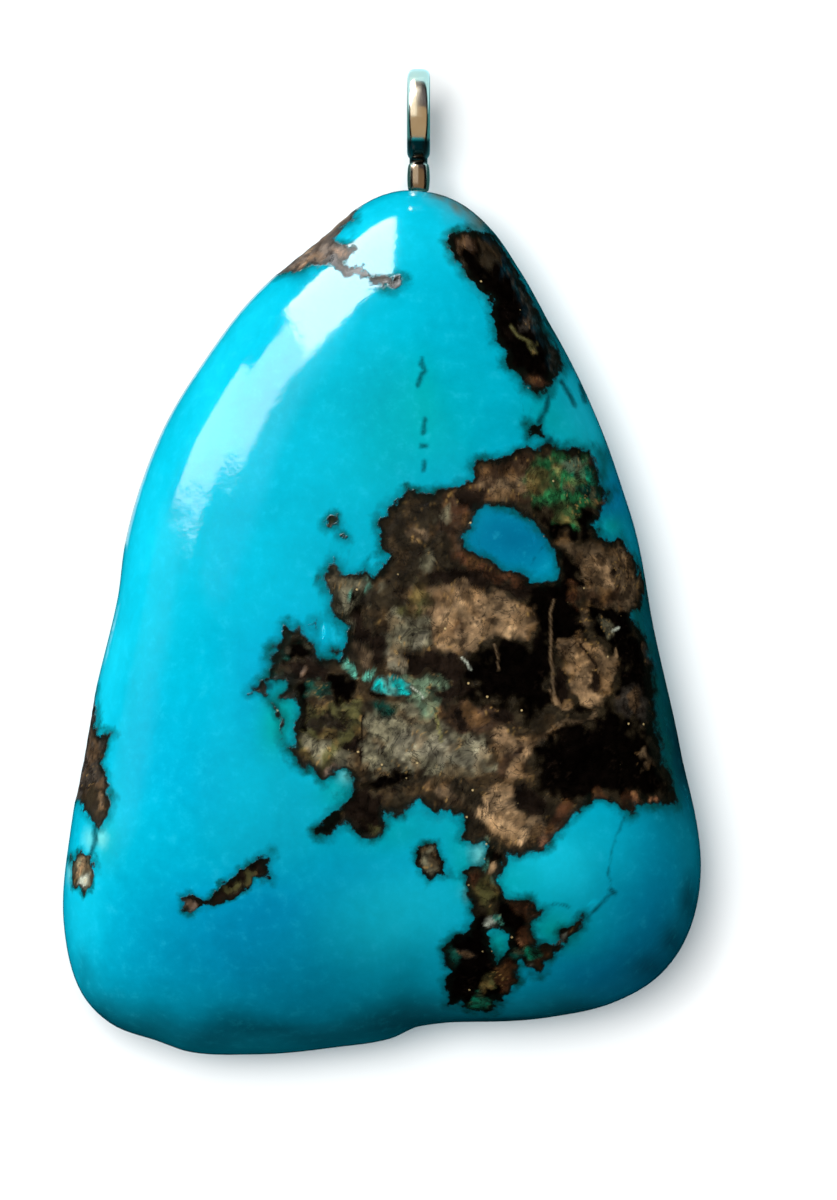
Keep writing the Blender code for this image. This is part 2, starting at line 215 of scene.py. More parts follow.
# Tones within the host rock, laid one over another: mineral, width of its soft edge, outline, in millimetres
HOST_ZONES_MM = (
    # Round the window
    ("brown", 0.4, ((2.3, 2.7), (3.3, 3.2), (4.0, 4.1), (5.4, 4.5), (6.8, 4.6), (6.9, 3.4), (6.0, 2.4),
        (4.2, 2.5), (3.7, 1.6), (3.1, 0.9), (2.5, 1.4))),
    ("drab", 0.4, ((4.2, 3.0), (4.7, 3.55), (5.5, 3.75), (6.1, 3.5), (6.2, 2.9), (5.6, 2.6), (4.9, 2.55))),
    ("rust", 0.25, ((3.0, 2.1), (3.4, 2.3), (3.7, 1.9), (3.3, 1.5), (3.1, 1.7))),
    ("soot", 0.3, ((3.3, 3.0), (4.3, 3.0), (4.4, 2.5), (3.7, 2.2), (3.0, 2.5))),
    ("moss", 0.6, ((6.1, 3.2), (6.5, 4.3), (7.2, 4.8), (8.6, 4.9), (9.3, 4.3), (9.3, 3.0), (8.3, 2.2),
        (8.0, 1.6), (7.4, 1.35), (6.8, 1.9), (6.2, 2.3))),
    ("umber", 0.4, ((7.2, 4.9), (8.6, 4.9), (8.4, 4.35), (7.4, 4.3))),
    ("olive", 0.4, ((6.1, 3.6), (6.7, 3.8), (7.0, 3.0), (6.7, 2.6), (6.1, 2.7))),
    ("pine", 0.5, ((7.9, 3.4), (8.6, 3.3), (9.2, 2.9), (9.1, 2.5), (8.2, 2.6), (7.8, 2.9))),
    ("jade", 0.45, ((7.8, 3.9), (8.5, 3.95), (9.0, 3.6), (8.7, 3.3), (7.9, 3.35))),
    ("sage", 0.3, ((7.5, 4.15), (8.3, 4.2), (8.4, 3.9), (7.8, 3.6), (7.5, 3.8))),
    ("straw", 0.25, ((6.8, 3.75), (7.2, 3.5), (7.6, 3.6), (7.5, 3.8), (7.1, 3.85))),
    ("straw", 0.3, ((7.4, 1.95), (7.8, 1.95), (8.05, 1.6), (7.8, 1.35), (7.4, 1.5))),
    ("jet", 0.25, ((6.1, 2.4), (6.6, 2.1), (7.0, 1.65), (7.5, 1.35), (8.1, 1.2), (8.2, 0.95), (7.2, 0.95),
        (6.8, 1.3), (6.3, 1.9))),
    ("jet", 0.25, ((8.25, 2.2), (8.7, 2.0), (8.8, 1.5), (8.6, 1.2), (8.95, 0.9), (8.3, 0.85), (8.1, 1.3))),
    ("clay", 0.2, ((8.85, 2.45), (9.2, 2.5), (9.2, 2.3), (8.9, 2.25))),
    ("rose taupe", 0.2, ((8.55, 4.3), (8.75, 4.3), (8.85, 3.95), (8.65, 3.95))),
    # Right of the window
    ("drab", 0.45, ((7.4, 0.8), (8.3, 0.6), (9.2, 0.7), (10.6, 0.8), (11.2, -0.8), (11.2, -1.7),
        (9.6, -1.9), (8.6, -1.8), (7.9, -1.2), (8.1, -0.4), (7.7, 0.1))),
    ("tan", 0.35, ((8.1, 0.1), (8.8, 0.1), (9.6, -0.3), (9.7, -0.8), (8.9, -1.0), (8.4, -0.6))),
    ("brown", 0.3, ((8.0, -1.2), (8.4, -1.1), (9.6, -1.3), (9.9, -1.7), (9.0, -1.9), (8.4, -1.7))),
    ("soot", 0.25, ((9.2, -0.3), (9.5, -0.35), (9.45, -0.6), (9.15, -0.55))),
    ("soot", 0.25, ((8.7, -1.5), (9.1, -1.45), (9.15, -1.8), (8.7, -1.8))),
    ("jet", 0.25, ((7.25, 0.4), (7.8, 0.1), (8.1, -0.3), (8.3, -0.95), (7.8, -1.05), (7.8, -1.6),
        (8.05, -2.1), (8.2, -2.9), (7.9, -3.2), (7.2, -3.3), (6.5, -3.0), (6.4, -2.3), (5.9, -1.9),
        (6.1, -1.4), (5.7, -1.1), (6.3, -0.95), (7.1, -1.0), (7.35, -0.5))),
    ("rust", 0.25, ((7.7, -0.9), (8.0, -0.85), (8.1, -1.4), (7.95, -1.8), (7.7, -1.5))),
    ("drab", 0.15, ((8.1, -1.9), (8.4, -2.1), (8.35, -2.7), (8.15, -2.7))),
    ("jet", 0.2, ((8.5, -2.0), (9.6, -1.95), (10.2, -2.2), (10.2, -3.3), (9.7, -3.4), (9.5, -3.6),
        (9.2, -3.3), (8.6, -2.9))),
    ("ash", 0.3, ((9.0, -2.5), (9.4, -2.35), (9.5, -2.9), (9.2, -3.2), (8.95, -3.0))),
    ("jet", 0.5, ((9.6, -3.3), (10.6, -2.8), (11.6, -4.2), (11.8, -8.0), (10.8, -7.2), (10.0, -6.2),
        (9.5, -5.4), (9.9, -4.6))),
    ("rose taupe", 0.3, ((10.75, -3.5), (11.05, -3.55), (11.25, -4.4), (10.95, -4.5))),
    ("smoke", 0.4, ((9.6, -5.6), (10.3, -5.1), (10.7, -5.8), (11.5, -6.0), (11.4, -6.7), (10.6, -6.8),
        (10.1, -6.3))),
    ("tan", 0.25, ((7.3, -3.5), (7.7, -3.3), (8.1, -3.0), (8.6, -3.3), (9.1, -3.4), (9.4, -3.9),
        (9.7, -4.4), (9.4, -4.9), (9.1, -5.2), (9.0, -5.9), (8.4, -5.9), (8.0, -5.4), (7.9, -4.8),
        (7.6, -4.2))),
    ("sand", 0.3, ((7.5, -3.6), (8.0, -3.5), (8.4, -4.2), (8.3, -4.7), (7.9, -4.3))),
    ("soot", 0.2, ((8.5, -4.6), (8.9, -4.5), (9.0, -5.0), (8.8, -5.4), (8.6, -5.1))),
    ("soot", 0.2, ((7.2, -4.3), (7.6, -4.5), (7.85, -5.3), (7.4, -5.8), (7.15, -5.2))),
    ("jet", 0.2, ((7.8, -5.9), (8.3, -5.95), (8.5, -6.1), (8.1, -6.3), (7.8, -6.3))),
    # The tan heart
    ("rust", 0.35, ((2.9, 0.4), (3.6, 0.3), (4.3, 0.1), (4.9, -0.4), (5.7, -0.5), (6.1, -0.9), (5.2, -1.0),
        (4.3, -0.7), (3.4, -0.2))),
    ("soot", 0.35, ((1.9, -0.3), (3.0, -0.2), (4.2, -0.65), (5.3, -0.95), (6.1, -1.1), (5.9, -1.5),
        (5.0, -1.35), (4.2, -1.1), (3.2, -0.9), (2.1, -0.95))),
    ("tan", 0.4, ((1.2, -1.6), (2.0, -1.2), (2.6, -0.9), (3.4, -1.0), (4.2, -1.15), (5.0, -1.45),
        (5.8, -1.6), (6.2, -2.1), (6.35, -2.6), (5.9, -3.0), (5.2, -3.1), (4.5, -3.2), (4.0, -3.6),
        (3.6, -4.0), (3.3, -3.7), (2.8, -3.65), (2.1, -3.5), (1.9, -2.9), (1.2, -2.2))),
    ("sand", 0.5, ((2.3, -2.6), (2.8, -1.9), (3.7, -1.7), (3.6, -2.5), (2.9, -3.1), (2.2, -3.2))),
    ("sand", 0.5, ((4.1, -1.8), (5.2, -1.8), (5.9, -2.4), (5.1, -2.9), (4.2, -2.8))),
    ("sand", 0.4, ((3.4, -3.0), (4.1, -3.0), (3.9, -3.6), (3.5, -3.7))),
    ("brown", 0.3, ((2.8, -2.6), (3.2, -2.3), (3.4, -2.7), (3.0, -2.9))),
    ("ash", 0.4, ((0.1, -2.0), (0.9, -1.8), (1.7, -2.3), (2.0, -3.0), (1.7, -3.6), (1.0, -3.9), (0.3, -3.6),
        (0.0, -2.8))),
    ("pale ash", 0.2, ((1.5, -3.1), (1.8, -3.1), (1.7, -3.6), (1.45, -3.6))),
    ("olive", 0.35, ((0.9, -1.2), (1.9, -1.1), (2.1, -1.7), (1.5, -2.0), (0.8, -1.9))),
    ("ash", 0.3, ((1.35, 0.35), (1.8, 0.4), (2.0, -0.1), (1.8, -0.55), (1.4, -0.4))),
    ("drab", 0.3, ((1.0, 1.3), (1.6, 1.5), (1.9, 1.0), (1.4, 0.8))),
    ("ash", 0.25, ((2.3, 2.1), (2.7, 2.05), (2.8, 1.7), (2.4, 1.75))),
    ("jet", 0.65, ((3.6, -4.1), (4.4, -3.5), (5.0, -3.2), (6.0, -3.1), (6.95, -3.3), (7.0, -4.5),
        (7.05, -5.8), (6.6, -6.1), (5.9, -6.3), (5.3, -5.95), (4.5, -5.85), (3.6, -5.85), (3.2, -5.6),
        (3.35, -4.8))),
    ("tan", 0.12, ((6.95, -5.2), (7.15, -5.8), (7.45, -6.2), (7.8, -5.8), (7.65, -5.5), (7.4, -5.95),
        (7.15, -5.5))),
    ("drab", 0.15, ((6.1, -7.45), (6.3, -7.2), (7.0, -6.75), (7.6, -6.6), (8.4, -6.35), (8.9, -5.95),
        (8.95, -6.05), (8.6, -6.5), (7.7, -6.75), (7.0, -7.0), (6.5, -7.5))),
    # Grey-green middle
    ("pale ash", 0.25, ((0.3, -3.8), (1.0, -3.9), (1.15, -4.4), (0.6, -4.6), (0.2, -4.3))),
    ("soot", 0.25, ((1.1, -4.0), (2.0, -3.75), (3.0, -3.9), (3.4, -4.4), (2.9, -5.2), (2.5, -4.8),
        (1.9, -4.5), (1.2, -4.6))),
    ("soot", 0.3, ((2.4, -5.0), (3.3, -4.9), (3.4, -5.7), (2.7, -5.7), (2.3, -5.4))),
    ("ash", 0.4, ((-0.7, -6.2), (0.2, -5.9), (1.3, -6.0), (2.2, -6.4), (3.0, -7.0), (3.9, -7.2),
        (4.3, -7.9), (4.6, -8.5), (3.9, -8.9), (3.0, -8.9), (2.2, -8.7), (1.3, -8.3), (0.6, -8.3),
        (-0.3, -8.8), (-0.75, -8.3))),
    ("pale ash", 0.7, ((0.2, -7.3), (2.0, -7.0), (3.7, -7.5), (4.1, -8.3), (2.6, -8.2), (0.8, -7.8))),
    ("sage", 0.35, ((1.0, -5.0), (1.9, -4.7), (2.7, -4.85), (2.2, -5.2), (2.1, -6.0), (1.8, -6.5),
        (1.2, -6.1))),
    ("pine", 0.4, ((-0.2, -5.9), (0.5, -6.0), (0.4, -6.4), (-0.2, -6.4))),
    ("brown", 0.3, ((2.3, -5.7), (3.3, -5.9), (4.4, -5.95), (5.2, -6.3), (5.6, -6.8), (4.9, -6.9),
        (3.9, -7.0), (3.1, -6.9), (2.5, -6.5))),
    ("soot", 0.25, ((3.0, -6.1), (3.5, -6.2), (3.4, -6.7), (3.9, -6.9), (3.4, -7.0), (3.0, -6.6))),
    ("soot", 0.25, ((4.5, -6.3), (5.6, -6.4), (5.4, -6.8), (4.6, -6.7))),
    ("tan", 0.3, ((4.2, -7.1), (4.9, -6.9), (5.3, -7.4), (6.0, -7.3), (6.2, -7.8), (5.9, -8.4), (6.1, -8.9),
        (5.4, -9.0), (4.8, -8.7), (4.6, -8.0))),
    ("brown", 0.25, ((5.0, -7.6), (5.8, -7.6), (5.6, -8.0), (5.1, -8.2), (4.9, -8.8), (4.7, -8.6))),
    ("sand", 0.18, ((4.3, -9.4), (4.8, -9.0), (5.3, -9.2), (5.3, -9.8), (5.6, -10.4), (5.9, -10.8),
        (6.1, -11.3), (5.7, -11.6), (5.0, -11.4), (4.3, -11.0), (3.8, -10.5), (3.7, -10.1), (4.1, -9.9))),
    ("soot", 0.2, ((5.4, -9.4), (6.0, -9.1), (6.6, -9.7), (6.7, -10.3), (6.1, -10.7), (5.7, -10.2),
        (5.4, -9.8))),
    ("drab", 0.2, ((6.0, -10.4), (6.5, -10.4), (6.6, -11.0), (6.2, -11.3), (5.95, -10.8))),
    ("jet", 0.50, ((6.2, -7.7), (6.8, -7.3), (7.6, -6.9), (8.5, -6.7), (9.0, -6.3), (9.3, -5.9),
        (9.8, -6.2), (10.2, -6.8), (10.9, -7.3), (11.4, -8.3), (11.7, -9.4), (11.0, -9.7), (10.1, -9.6),
        (9.2, -9.65), (8.3, -9.65), (7.5, -9.9), (6.9, -9.8), (6.5, -9.3), (6.2, -8.7), (6.4, -8.2))),
    ("drab", 0.3, ((10.5, -7.9), (10.8, -7.65), (11.15, -8.0), (10.8, -8.35))),
    ("rust", 0.25, ((7.1, -10.2), (8.2, -9.85), (7.7, -10.4), (7.2, -11.2), (6.7, -11.5), (6.6, -10.9))),
    ("rust", 0.25, ((8.7, -9.4), (9.1, -9.4), (9.2, -9.85), (8.7, -9.85))),
    ("rust", 0.25, ((9.7, -9.9), (10.1, -9.5), (10.5, -9.8), (10.3, -10.4), (9.9, -10.4))),
    ("clay", 0.12, ((6.5, -11.5), (6.65, -11.2), (6.85, -11.35), (6.75, -11.7), (6.45, -11.7))),
    ("clay", 0.12, ((10.25, -9.6), (10.5, -9.45), (10.45, -9.85), (10.25, -9.85))),
    ("clay", 0.15, ((11.0, -9.75), (11.5, -9.75), (11.4, -9.9), (11.0, -9.9))),
    # Left lobes
    ("olive", 0.35, ((-3.4, -6.9), (-2.9, -5.9), (-2.2, -5.7), (-1.0, -5.6), (-0.7, -6.3), (-0.9, -7.2),
        (-1.7, -7.5), (-2.1, -8.5), (-2.7, -8.2), (-3.4, -8.1), (-3.6, -7.5))),
    ("umber", 0.35, ((-3.1, -6.7), (-2.5, -6.1), (-1.7, -6.2), (-1.2, -6.9), (-1.9, -7.0))),
    ("ash", 0.35, ((-3.4, -7.2), (-2.6, -7.1), (-2.1, -7.4), (-2.6, -8.0), (-3.4, -7.8))),
    ("ash", 0.3, ((-1.9, -7.9), (-1.0, -7.7), (-1.0, -8.4), (-1.5, -8.5), (-1.9, -8.3))),
    ("soot", 0.25, ((-1.5, -7.4), (-1.0, -7.0), (-0.8, -7.3), (-0.95, -7.8), (-1.4, -7.6))),
    ("jet", 0.2, ((-2.1, -4.6), (-1.6, -4.7), (-1.1, -5.1), (-1.2, -5.7), (-2.0, -5.75), (-2.15, -5.2))),
    ("soot", 0.3, ((-4.1, -4.1), (-2.4, -4.1), (-2.2, -4.9), (-3.2, -5.0), (-4.0, -4.9))),
    ("jet", 0.25, ((-4.1, -3.4), (-3.4, -3.1), (-2.8, -3.3), (-2.8, -3.8), (-3.1, -4.05), (-4.1, -4.0))),
    ("jet", 0.2, ((-3.9, -5.3), (-3.1, -5.0), (-3.05, -6.9), (-3.45, -6.8), (-3.4, -5.6))),
    ("pine", 0.3, ((-4.8, -4.9), (-4.1, -3.2), (-3.9, -2.6), (-3.7, -3.1), (-4.1, -3.9), (-4.2, -4.9))),
    ("pine", 0.25, ((-3.0, -5.0), (-2.2, -4.9), (-2.15, -5.4), (-2.6, -5.7), (-3.0, -5.5))),
    ("rose taupe", 0.12, ((-3.4, -4.6), (-3.1, -4.4), (-3.08, -4.75), (-3.35, -4.85))),
    ("jet", 0.35, ((-2.6, -0.3), (-1.6, -0.1), (-0.7, -0.6), (-0.5, -1.6), (-0.7, -2.4), (-1.3, -2.5),
        (-1.4, -2.8), (-2.2, -2.4))),
    ("soot", 0.3, ((-1.3, -2.6), (-0.9, -2.2), (-0.3, -2.8), (0.1, -3.3), (0.2, -4.2), (-0.3, -4.2),
        (-0.5, -3.4), (-1.2, -3.2))),
    ("drab", 0.2, ((-0.9, -3.5), (-0.55, -3.6), (-0.3, -4.2), (-0.4, -4.5), (-0.8, -4.3))),
    ("umber", 0.3, ((-0.9, -1.6), (0.2, -1.0), (0.9, -1.3), (0.3, -1.9), (-0.6, -2.2))),
    ("verdigris", 0.1, ((-2.3, -0.75), (-1.9, -0.65), (-1.5, -0.75), (-1.15, -1.0), (-1.1, -1.7),
        (-1.5, -1.8), (-1.45, -1.2), (-1.8, -0.95), (-2.2, -0.95))),
    ("verdigris", 0.12, ((-1.0, -0.8), (-0.6, -0.6), (-0.35, -0.9), (-0.25, -1.25), (-0.6, -1.2),
        (-0.8, -0.95))),
    ("verdigris", 0.1, ((-1.7, -4.2), (-1.4, -4.1), (-1.05, -4.5), (-0.95, -4.95), (-1.3, -4.75))),
    ("verdigris", 0.15, ((-0.95, -4.75), (-0.6, -4.45), (-0.3, -4.5), (-0.4, -4.9), (-0.8, -5.05))),
    ("teal", 0.15, ((-0.4, -5.2), (-0.1, -4.8), (0.7, -4.9), (1.05, -5.15), (0.9, -5.65), (0.2, -5.55),
        (-0.2, -5.4))),
    # Lower lobes
    ("soot", 0.3, ((-1.5, -9.8), (-1.0, -9.4), (0.0, -9.5), (0.2, -10.3), (0.0, -11.1), (-0.9, -11.1),
        (-1.3, -10.6))),
    ("olive", 0.2, ((-0.7, -10.8), (-0.2, -10.8), (0.0, -11.1), (-0.3, -11.35), (-0.65, -11.3))),
    ("jet", 0.15, ((-1.6, -10.1), (-2.2, -10.3), (-2.4, -10.8), (-2.9, -11.0), (-2.5, -11.35),
        (-2.0, -11.2), (-1.65, -10.7))),
    ("umber", 0.4, ((0.2, -9.2), (1.4, -8.9), (3.0, -9.2), (3.6, -9.9), (3.3, -11.2), (2.9, -10.2),
        (0.9, -10.3))),
    ("drab", 0.3, ((1.9, -9.1), (2.7, -9.3), (3.2, -9.8), (2.4, -9.8))),
    ("jet", 0.2, ((-1.1, -9.0), (-0.3, -9.0), (0.5, -8.6), (1.1, -8.45), (1.2, -8.8), (0.5, -9.1),
        (-0.2, -9.4), (-1.0, -9.35))),
    ("rose taupe", 0.2, ((-2.5, -8.5), (-2.1, -8.3), (-1.95, -8.6), (-2.3, -8.8))),
    # Upper left patch, left rough by the polishing
    ("taupe", 0.3, ((-6.4, 11.5), (-5.0, 15.4), (-0.4, 15.0), (-0.8, 12.3), (1.1, 12.1), (1.1, 10.9),
        (-2.5, 11.4))),
    ("rose taupe", 0.3, ((-1.9, 12.9), (-1.1, 12.9), (-1.3, 12.5), (-1.7, 12.3))),
    ("soot", 0.2, ((-2.5, 12.75), (-2.0, 12.9), (-1.9, 12.55), (-2.2, 12.45))),
    ("pine", 0.25, ((0.3, 11.5), (0.6, 11.2), (0.9, 11.4), (0.95, 11.7), (0.7, 11.6))),
    # Upper right patch
    ("jet", 0.6, ((2.4, 13.6), (4.2, 14.4), (7.0, 12.3), (9.6, 8.0), (8.2, 6.6), (6.0, 6.4), (4.4, 8.6),
        (3.9, 11.0))),
    ("brown", 0.4, ((3.1, 13.4), (3.7, 13.5), (4.0, 13.2), (3.7, 12.9), (3.2, 13.0))),
    ("ink", 0.5, ((4.3, 13.7), (5.8, 13.4), (7.0, 11.2), (8.9, 8.2), (7.3, 7.7), (6.6, 8.9), (6.1, 10.2),
        (5.3, 11.7), (4.6, 12.7))),
    # Dark teal along the upper right rim: partly the rock's colour, partly painted shade
    ("slate_and_rim_shade", 0.6, ((5.0, 13.6), (7.0, 11.6), (9.0, 8.3), (7.4, 7.9), (6.9, 9.1), (6.1, 10.8),
        (5.2, 12.4))),
    ("umber", 0.3, ((4.0, 13.2), (4.8, 13.0), (5.0, 12.4), (4.5, 12.0), (4.2, 12.4))),
    ("smoke", 0.3, ((5.9, 9.9), (6.2, 9.9), (6.3, 9.5), (5.9, 9.45))),
    ("soot", 0.5, ((5.7, 7.7), (6.6, 7.9), (6.9, 7.3), (6.4, 6.9), (5.9, 7.0))),
    ("rust", 0.45, ((6.05, 7.3), (6.4, 7.35), (6.5, 7.15), (6.2, 7.05))),
    ("olive", 0.2, ((6.15, 8.85), (6.35, 8.8), (6.35, 8.6), (6.2, 8.6))),
    # Left rim
    ("smoke", 0.4, ((-12.7, -5.0), (-11.3, -5.0), (-11.0, -9.3), (-12.9, -9.6))),
    ("umber", 0.3, ((-12.1, -9.5), (-11.4, -9.4), (-11.3, -10.4), (-11.8, -10.8), (-12.2, -10.2))),
    ("tan", 0.15, ((-11.5, -9.6), (-11.35, -9.7), (-11.35, -10.2), (-11.5, -10.1))),
    ("ash", 0.25, ((-12.8, -12.3), (-12.4, -12.0), (-11.9, -12.2), (-11.8, -12.8), (-12.1, -13.6),
        (-12.6, -13.3))),
    ("tan", 0.25, ((-12.7, -12.4), (-12.3, -12.3), (-12.2, -12.8), (-12.6, -12.9))),
    ("quartz", 0.3, ((-12.55, -13.25), (-12.4, -13.2), (-12.4, -13.4), (-12.5, -13.45))),
    # Spindle and nut
    ("soot", 0.3, ((-8.6, -14.8), (-8.6, -13.4), (-4.2, -11.5), (-4.0, -13.3), (-7.0, -14.6))),
    ("soot", 0.3, ((1.0, -11.2), (2.9, -11.2), (3.0, -13.2), (1.2, -13.2))),
    ("olive", 0.25, ((-6.4, -13.5), (-5.8, -13.0), (-5.2, -12.5), (-4.9, -12.6), (-5.3, -13.2),
        (-6.0, -13.6))),
    ("soot", 0.2, ((-7.3, -14.1), (-6.7, -13.5), (-6.4, -13.6), (-6.7, -13.9))),
    ("rose taupe", 0.15, ((-8.1, -14.1), (-7.95, -13.9), (-7.7, -13.9), (-7.7, -14.15), (-8.0, -14.25))),
    ("quartz", 0.1, ((-7.9, -13.75), (-7.85, -13.65), (-7.75, -13.75))),
    ("ash", 0.25, ((1.55, -11.9), (2.2, -11.75), (2.25, -12.5), (1.95, -12.8), (1.55, -12.4))),
    # Bottom vein
    ("jet", 0.3, ((2.4, -14.6), (4.3, -14.6), (6.2, -14.4), (5.7, -18.4), (2.4, -18.6))),
    ("olive", 0.25, ((3.5, -12.8), (4.6, -12.9), (4.7, -13.7), (4.4, -14.5), (3.9, -14.5), (3.6, -13.6))),
    ("rust", 0.25, ((3.3, -12.8), (3.9, -12.6), (4.1, -12.9), (3.7, -13.2))),
    ("jet", 0.2, ((4.5, -13.7), (5.0, -13.6), (5.5, -14.2), (5.9, -15.0), (5.3, -15.9), (4.8, -14.8))),
    ("jet", 0.15, ((4.4, -11.8), (4.95, -11.8), (5.0, -12.2), (4.5, -12.3))),
    ("rust", 0.25, ((5.2, -13.9), (6.1, -13.9), (6.8, -14.2), (6.2, -14.7), (6.15, -15.6), (5.7, -15.9),
        (5.8, -14.8))),
    ("clay", 0.15, ((5.6, -15.5), (5.75, -15.4), (5.85, -15.8), (5.65, -15.85))),
    ("pine", 0.2, ((5.2, -16.1), (5.4, -15.95), (5.9, -16.0), (5.7, -16.3), (5.2, -16.3))),
    ("rust", 0.3, ((5.0, -16.4), (5.7, -16.4), (5.6, -17.2), (5.1, -17.9), (4.7, -17.6), (4.9, -16.9))),
    ("quartz", 0.12, ((5.85, -16.65), (5.9, -16.5), (6.1, -16.5), (6.0, -16.7))),
    ("quartz", 0.12, ((4.15, -14.8), (4.5, -14.6), (4.8, -14.75), (4.6, -14.9), (4.3, -14.95))),
    ("verdigris", 0.12, ((4.4, -14.6), (4.7, -14.6), (4.8, -14.85), (4.5, -14.8))),
    ("pine", 0.2, ((2.4, -15.8), (2.8, -15.7), (3.1, -16.3), (3.0, -16.7), (2.7, -16.4))),
    ("olive", 0.25, ((4.2, -17.1), (4.6, -16.9), (4.5, -17.4), (4.1, -17.9), (3.9, -17.6))),
    ("jade", 0.25, ((3.5, -18.1), (4.0, -17.95), (4.6, -18.05), (4.7, -18.5), (4.0, -18.7), (3.4, -18.6))),
    ("smoke", 0.2, ((3.3, -16.1), (3.6, -15.95), (3.8, -16.1), (3.5, -16.25))),
    ("rust", 0.2, ((6.4, -15.8), (6.95, -15.9), (6.7, -16.5), (6.4, -16.8), (6.2, -16.4), (6.6, -16.1))),
    ("jade", 0.25, ((5.9, -15.9), (6.4, -15.9), (6.5, -16.2), (6.0, -16.3))),
    ("quartz", 0.12, ((6.95, -15.85), (7.15, -15.45), (7.55, -15.2), (7.65, -15.45), (7.3, -15.8))),
    ("rust", 0.12, ((7.7, -15.3), (7.65, -15.1), (8.2, -14.6), (8.3, -14.7), (8.0, -15.1))),
    ("sand", 0.15, ((4.4, -12.5), (4.6, -12.3), (4.8, -12.5), (4.65, -12.8), (4.45, -12.7))),
    ("sage", 0.12, ((4.5, -13.0), (4.65, -12.9), (4.85, -13.05), (4.7, -13.2))),
    ("verdigris", 0.15, ((3.7, -11.6), (4.3, -11.55), (4.35, -12.0), (4.3, -12.75), (4.0, -12.4),
        (3.75, -12.0))),
    ("moss", 0.2, ((-2.4, 1.3), (-2.2, 1.8), (-1.8, 1.9), (-1.8, 1.3))),
    ("jet", 0.2, ((5.7, 4.9), (5.9, 5.8), (6.8, 5.8), (6.9, 4.9))),
    # The ground back
    ("tan", 0.9, ((-5.0, 2.9), (-3.4, 3.2), (-2.1, 2.2), (-2.3, 0.6), (-3.9, 0.1), (-5.4, 1.2))),
    ("ash", 0.9, ((-3.9, -0.6), (-1.7, 0.4), (-0.5, -0.9), (-1.6, -2.6), (-3.6, -3.1), (-4.9, -2.2))),
)

# Hairlines across the stone, and one painted glint: mineral, width, points, in millimetres
HAIRLINES_MM = (
    ("drab", 0.09, ((7.05, -1.6), (6.9, -2.2), (6.9, -3.0), (6.95, -3.8), (6.95, -4.6), (7.05, -5.4))),
    ("quartz", 0.05, ((3.3, -3.95), (3.5, -4.2), (3.65, -4.45))),
    ("quartz", 0.05, ((1.2, -5.15), (1.5, -5.35), (1.7, -5.6))),
    # A painted glint: a short white line of polish catching the light, drawn as quartz
    ("quartz", 0.09, ((9.52, -2.87), (9.75, -2.75))),
    ("sand", 0.07, ((9.6, -3.6), (9.65, -3.95))),
    ("soot", 0.12, ((8.1, -3.4), (8.5, -3.9), (8.8, -4.3), (8.7, -4.8))),
    ("soot", 0.08, ((-0.85, -6.2), (-0.8, -7.0), (-0.85, -7.8), (-0.8, -8.6))),
    ("jet", 0.13, ((-0.45, -5.45), (-0.2, -5.55), (0.15, -5.5))),
    ("olive", 0.14, ((5.35, 9.7), (5.6, 9.3), (6.1, 9.0))),
    ("straw", 0.07, ((2.2, -6.3), (2.4, -6.9), (2.45, -7.4))),
    ("drab", 0.06, ((4.6, -3.4), (4.75, -3.9), (4.75, -4.5))),
)

# Dark cracks in the turquoise: width and points, in millimetres. Below zero a width leaves only a faint line.
CRACKS_MM = (
    (0.06, ((1.65, 8.3), (1.6, 8.05), (1.78, 7.8), (1.6, 7.6), (1.5, 7.2))),
    (0.05, ((1.78, 5.75), (1.72, 5.4), (1.68, 5.2))),
    (0.06, ((1.85, 4.72), (1.65, 4.7))),
    (0.04, ((1.75, 4.05), (1.68, 3.75))),
    (0.12, ((6.85, 6.75), (6.75, 6.2), (6.45, 5.75))),
    (0.10, ((6.9, 5.0), (6.75, 4.7))),
    (0.08, ((7.4, 7.4), (7.7, 6.9), (7.95, 6.45))),
    (0.06, ((8.2, 7.3), (8.4, 6.6))),
    (-0.16, ((6.85, 0.85), (6.4, 0.35), (6.1, -0.2))),
    (-0.10, ((9.95, -10.4), (9.7, -11.0), (9.4, -11.8), (9.25, -12.8), (9.4, -13.5))),
    (0.10, ((9.38, -13.5), (9.5, -13.62))),
    (-0.02, ((9.4, -13.6), (8.9, -14.15), (8.3, -14.6))),
    (-0.04, ((7.0, -14.05), (7.4, -14.05), (7.7, -14.2))),
    (0.10, ((-11.85, -10.95), (-11.85, -11.5), (-12.0, -12.1))),
    (0.10, ((-5.2, -5.2), (-4.75, -5.15), (-4.6, -5.1))),
)
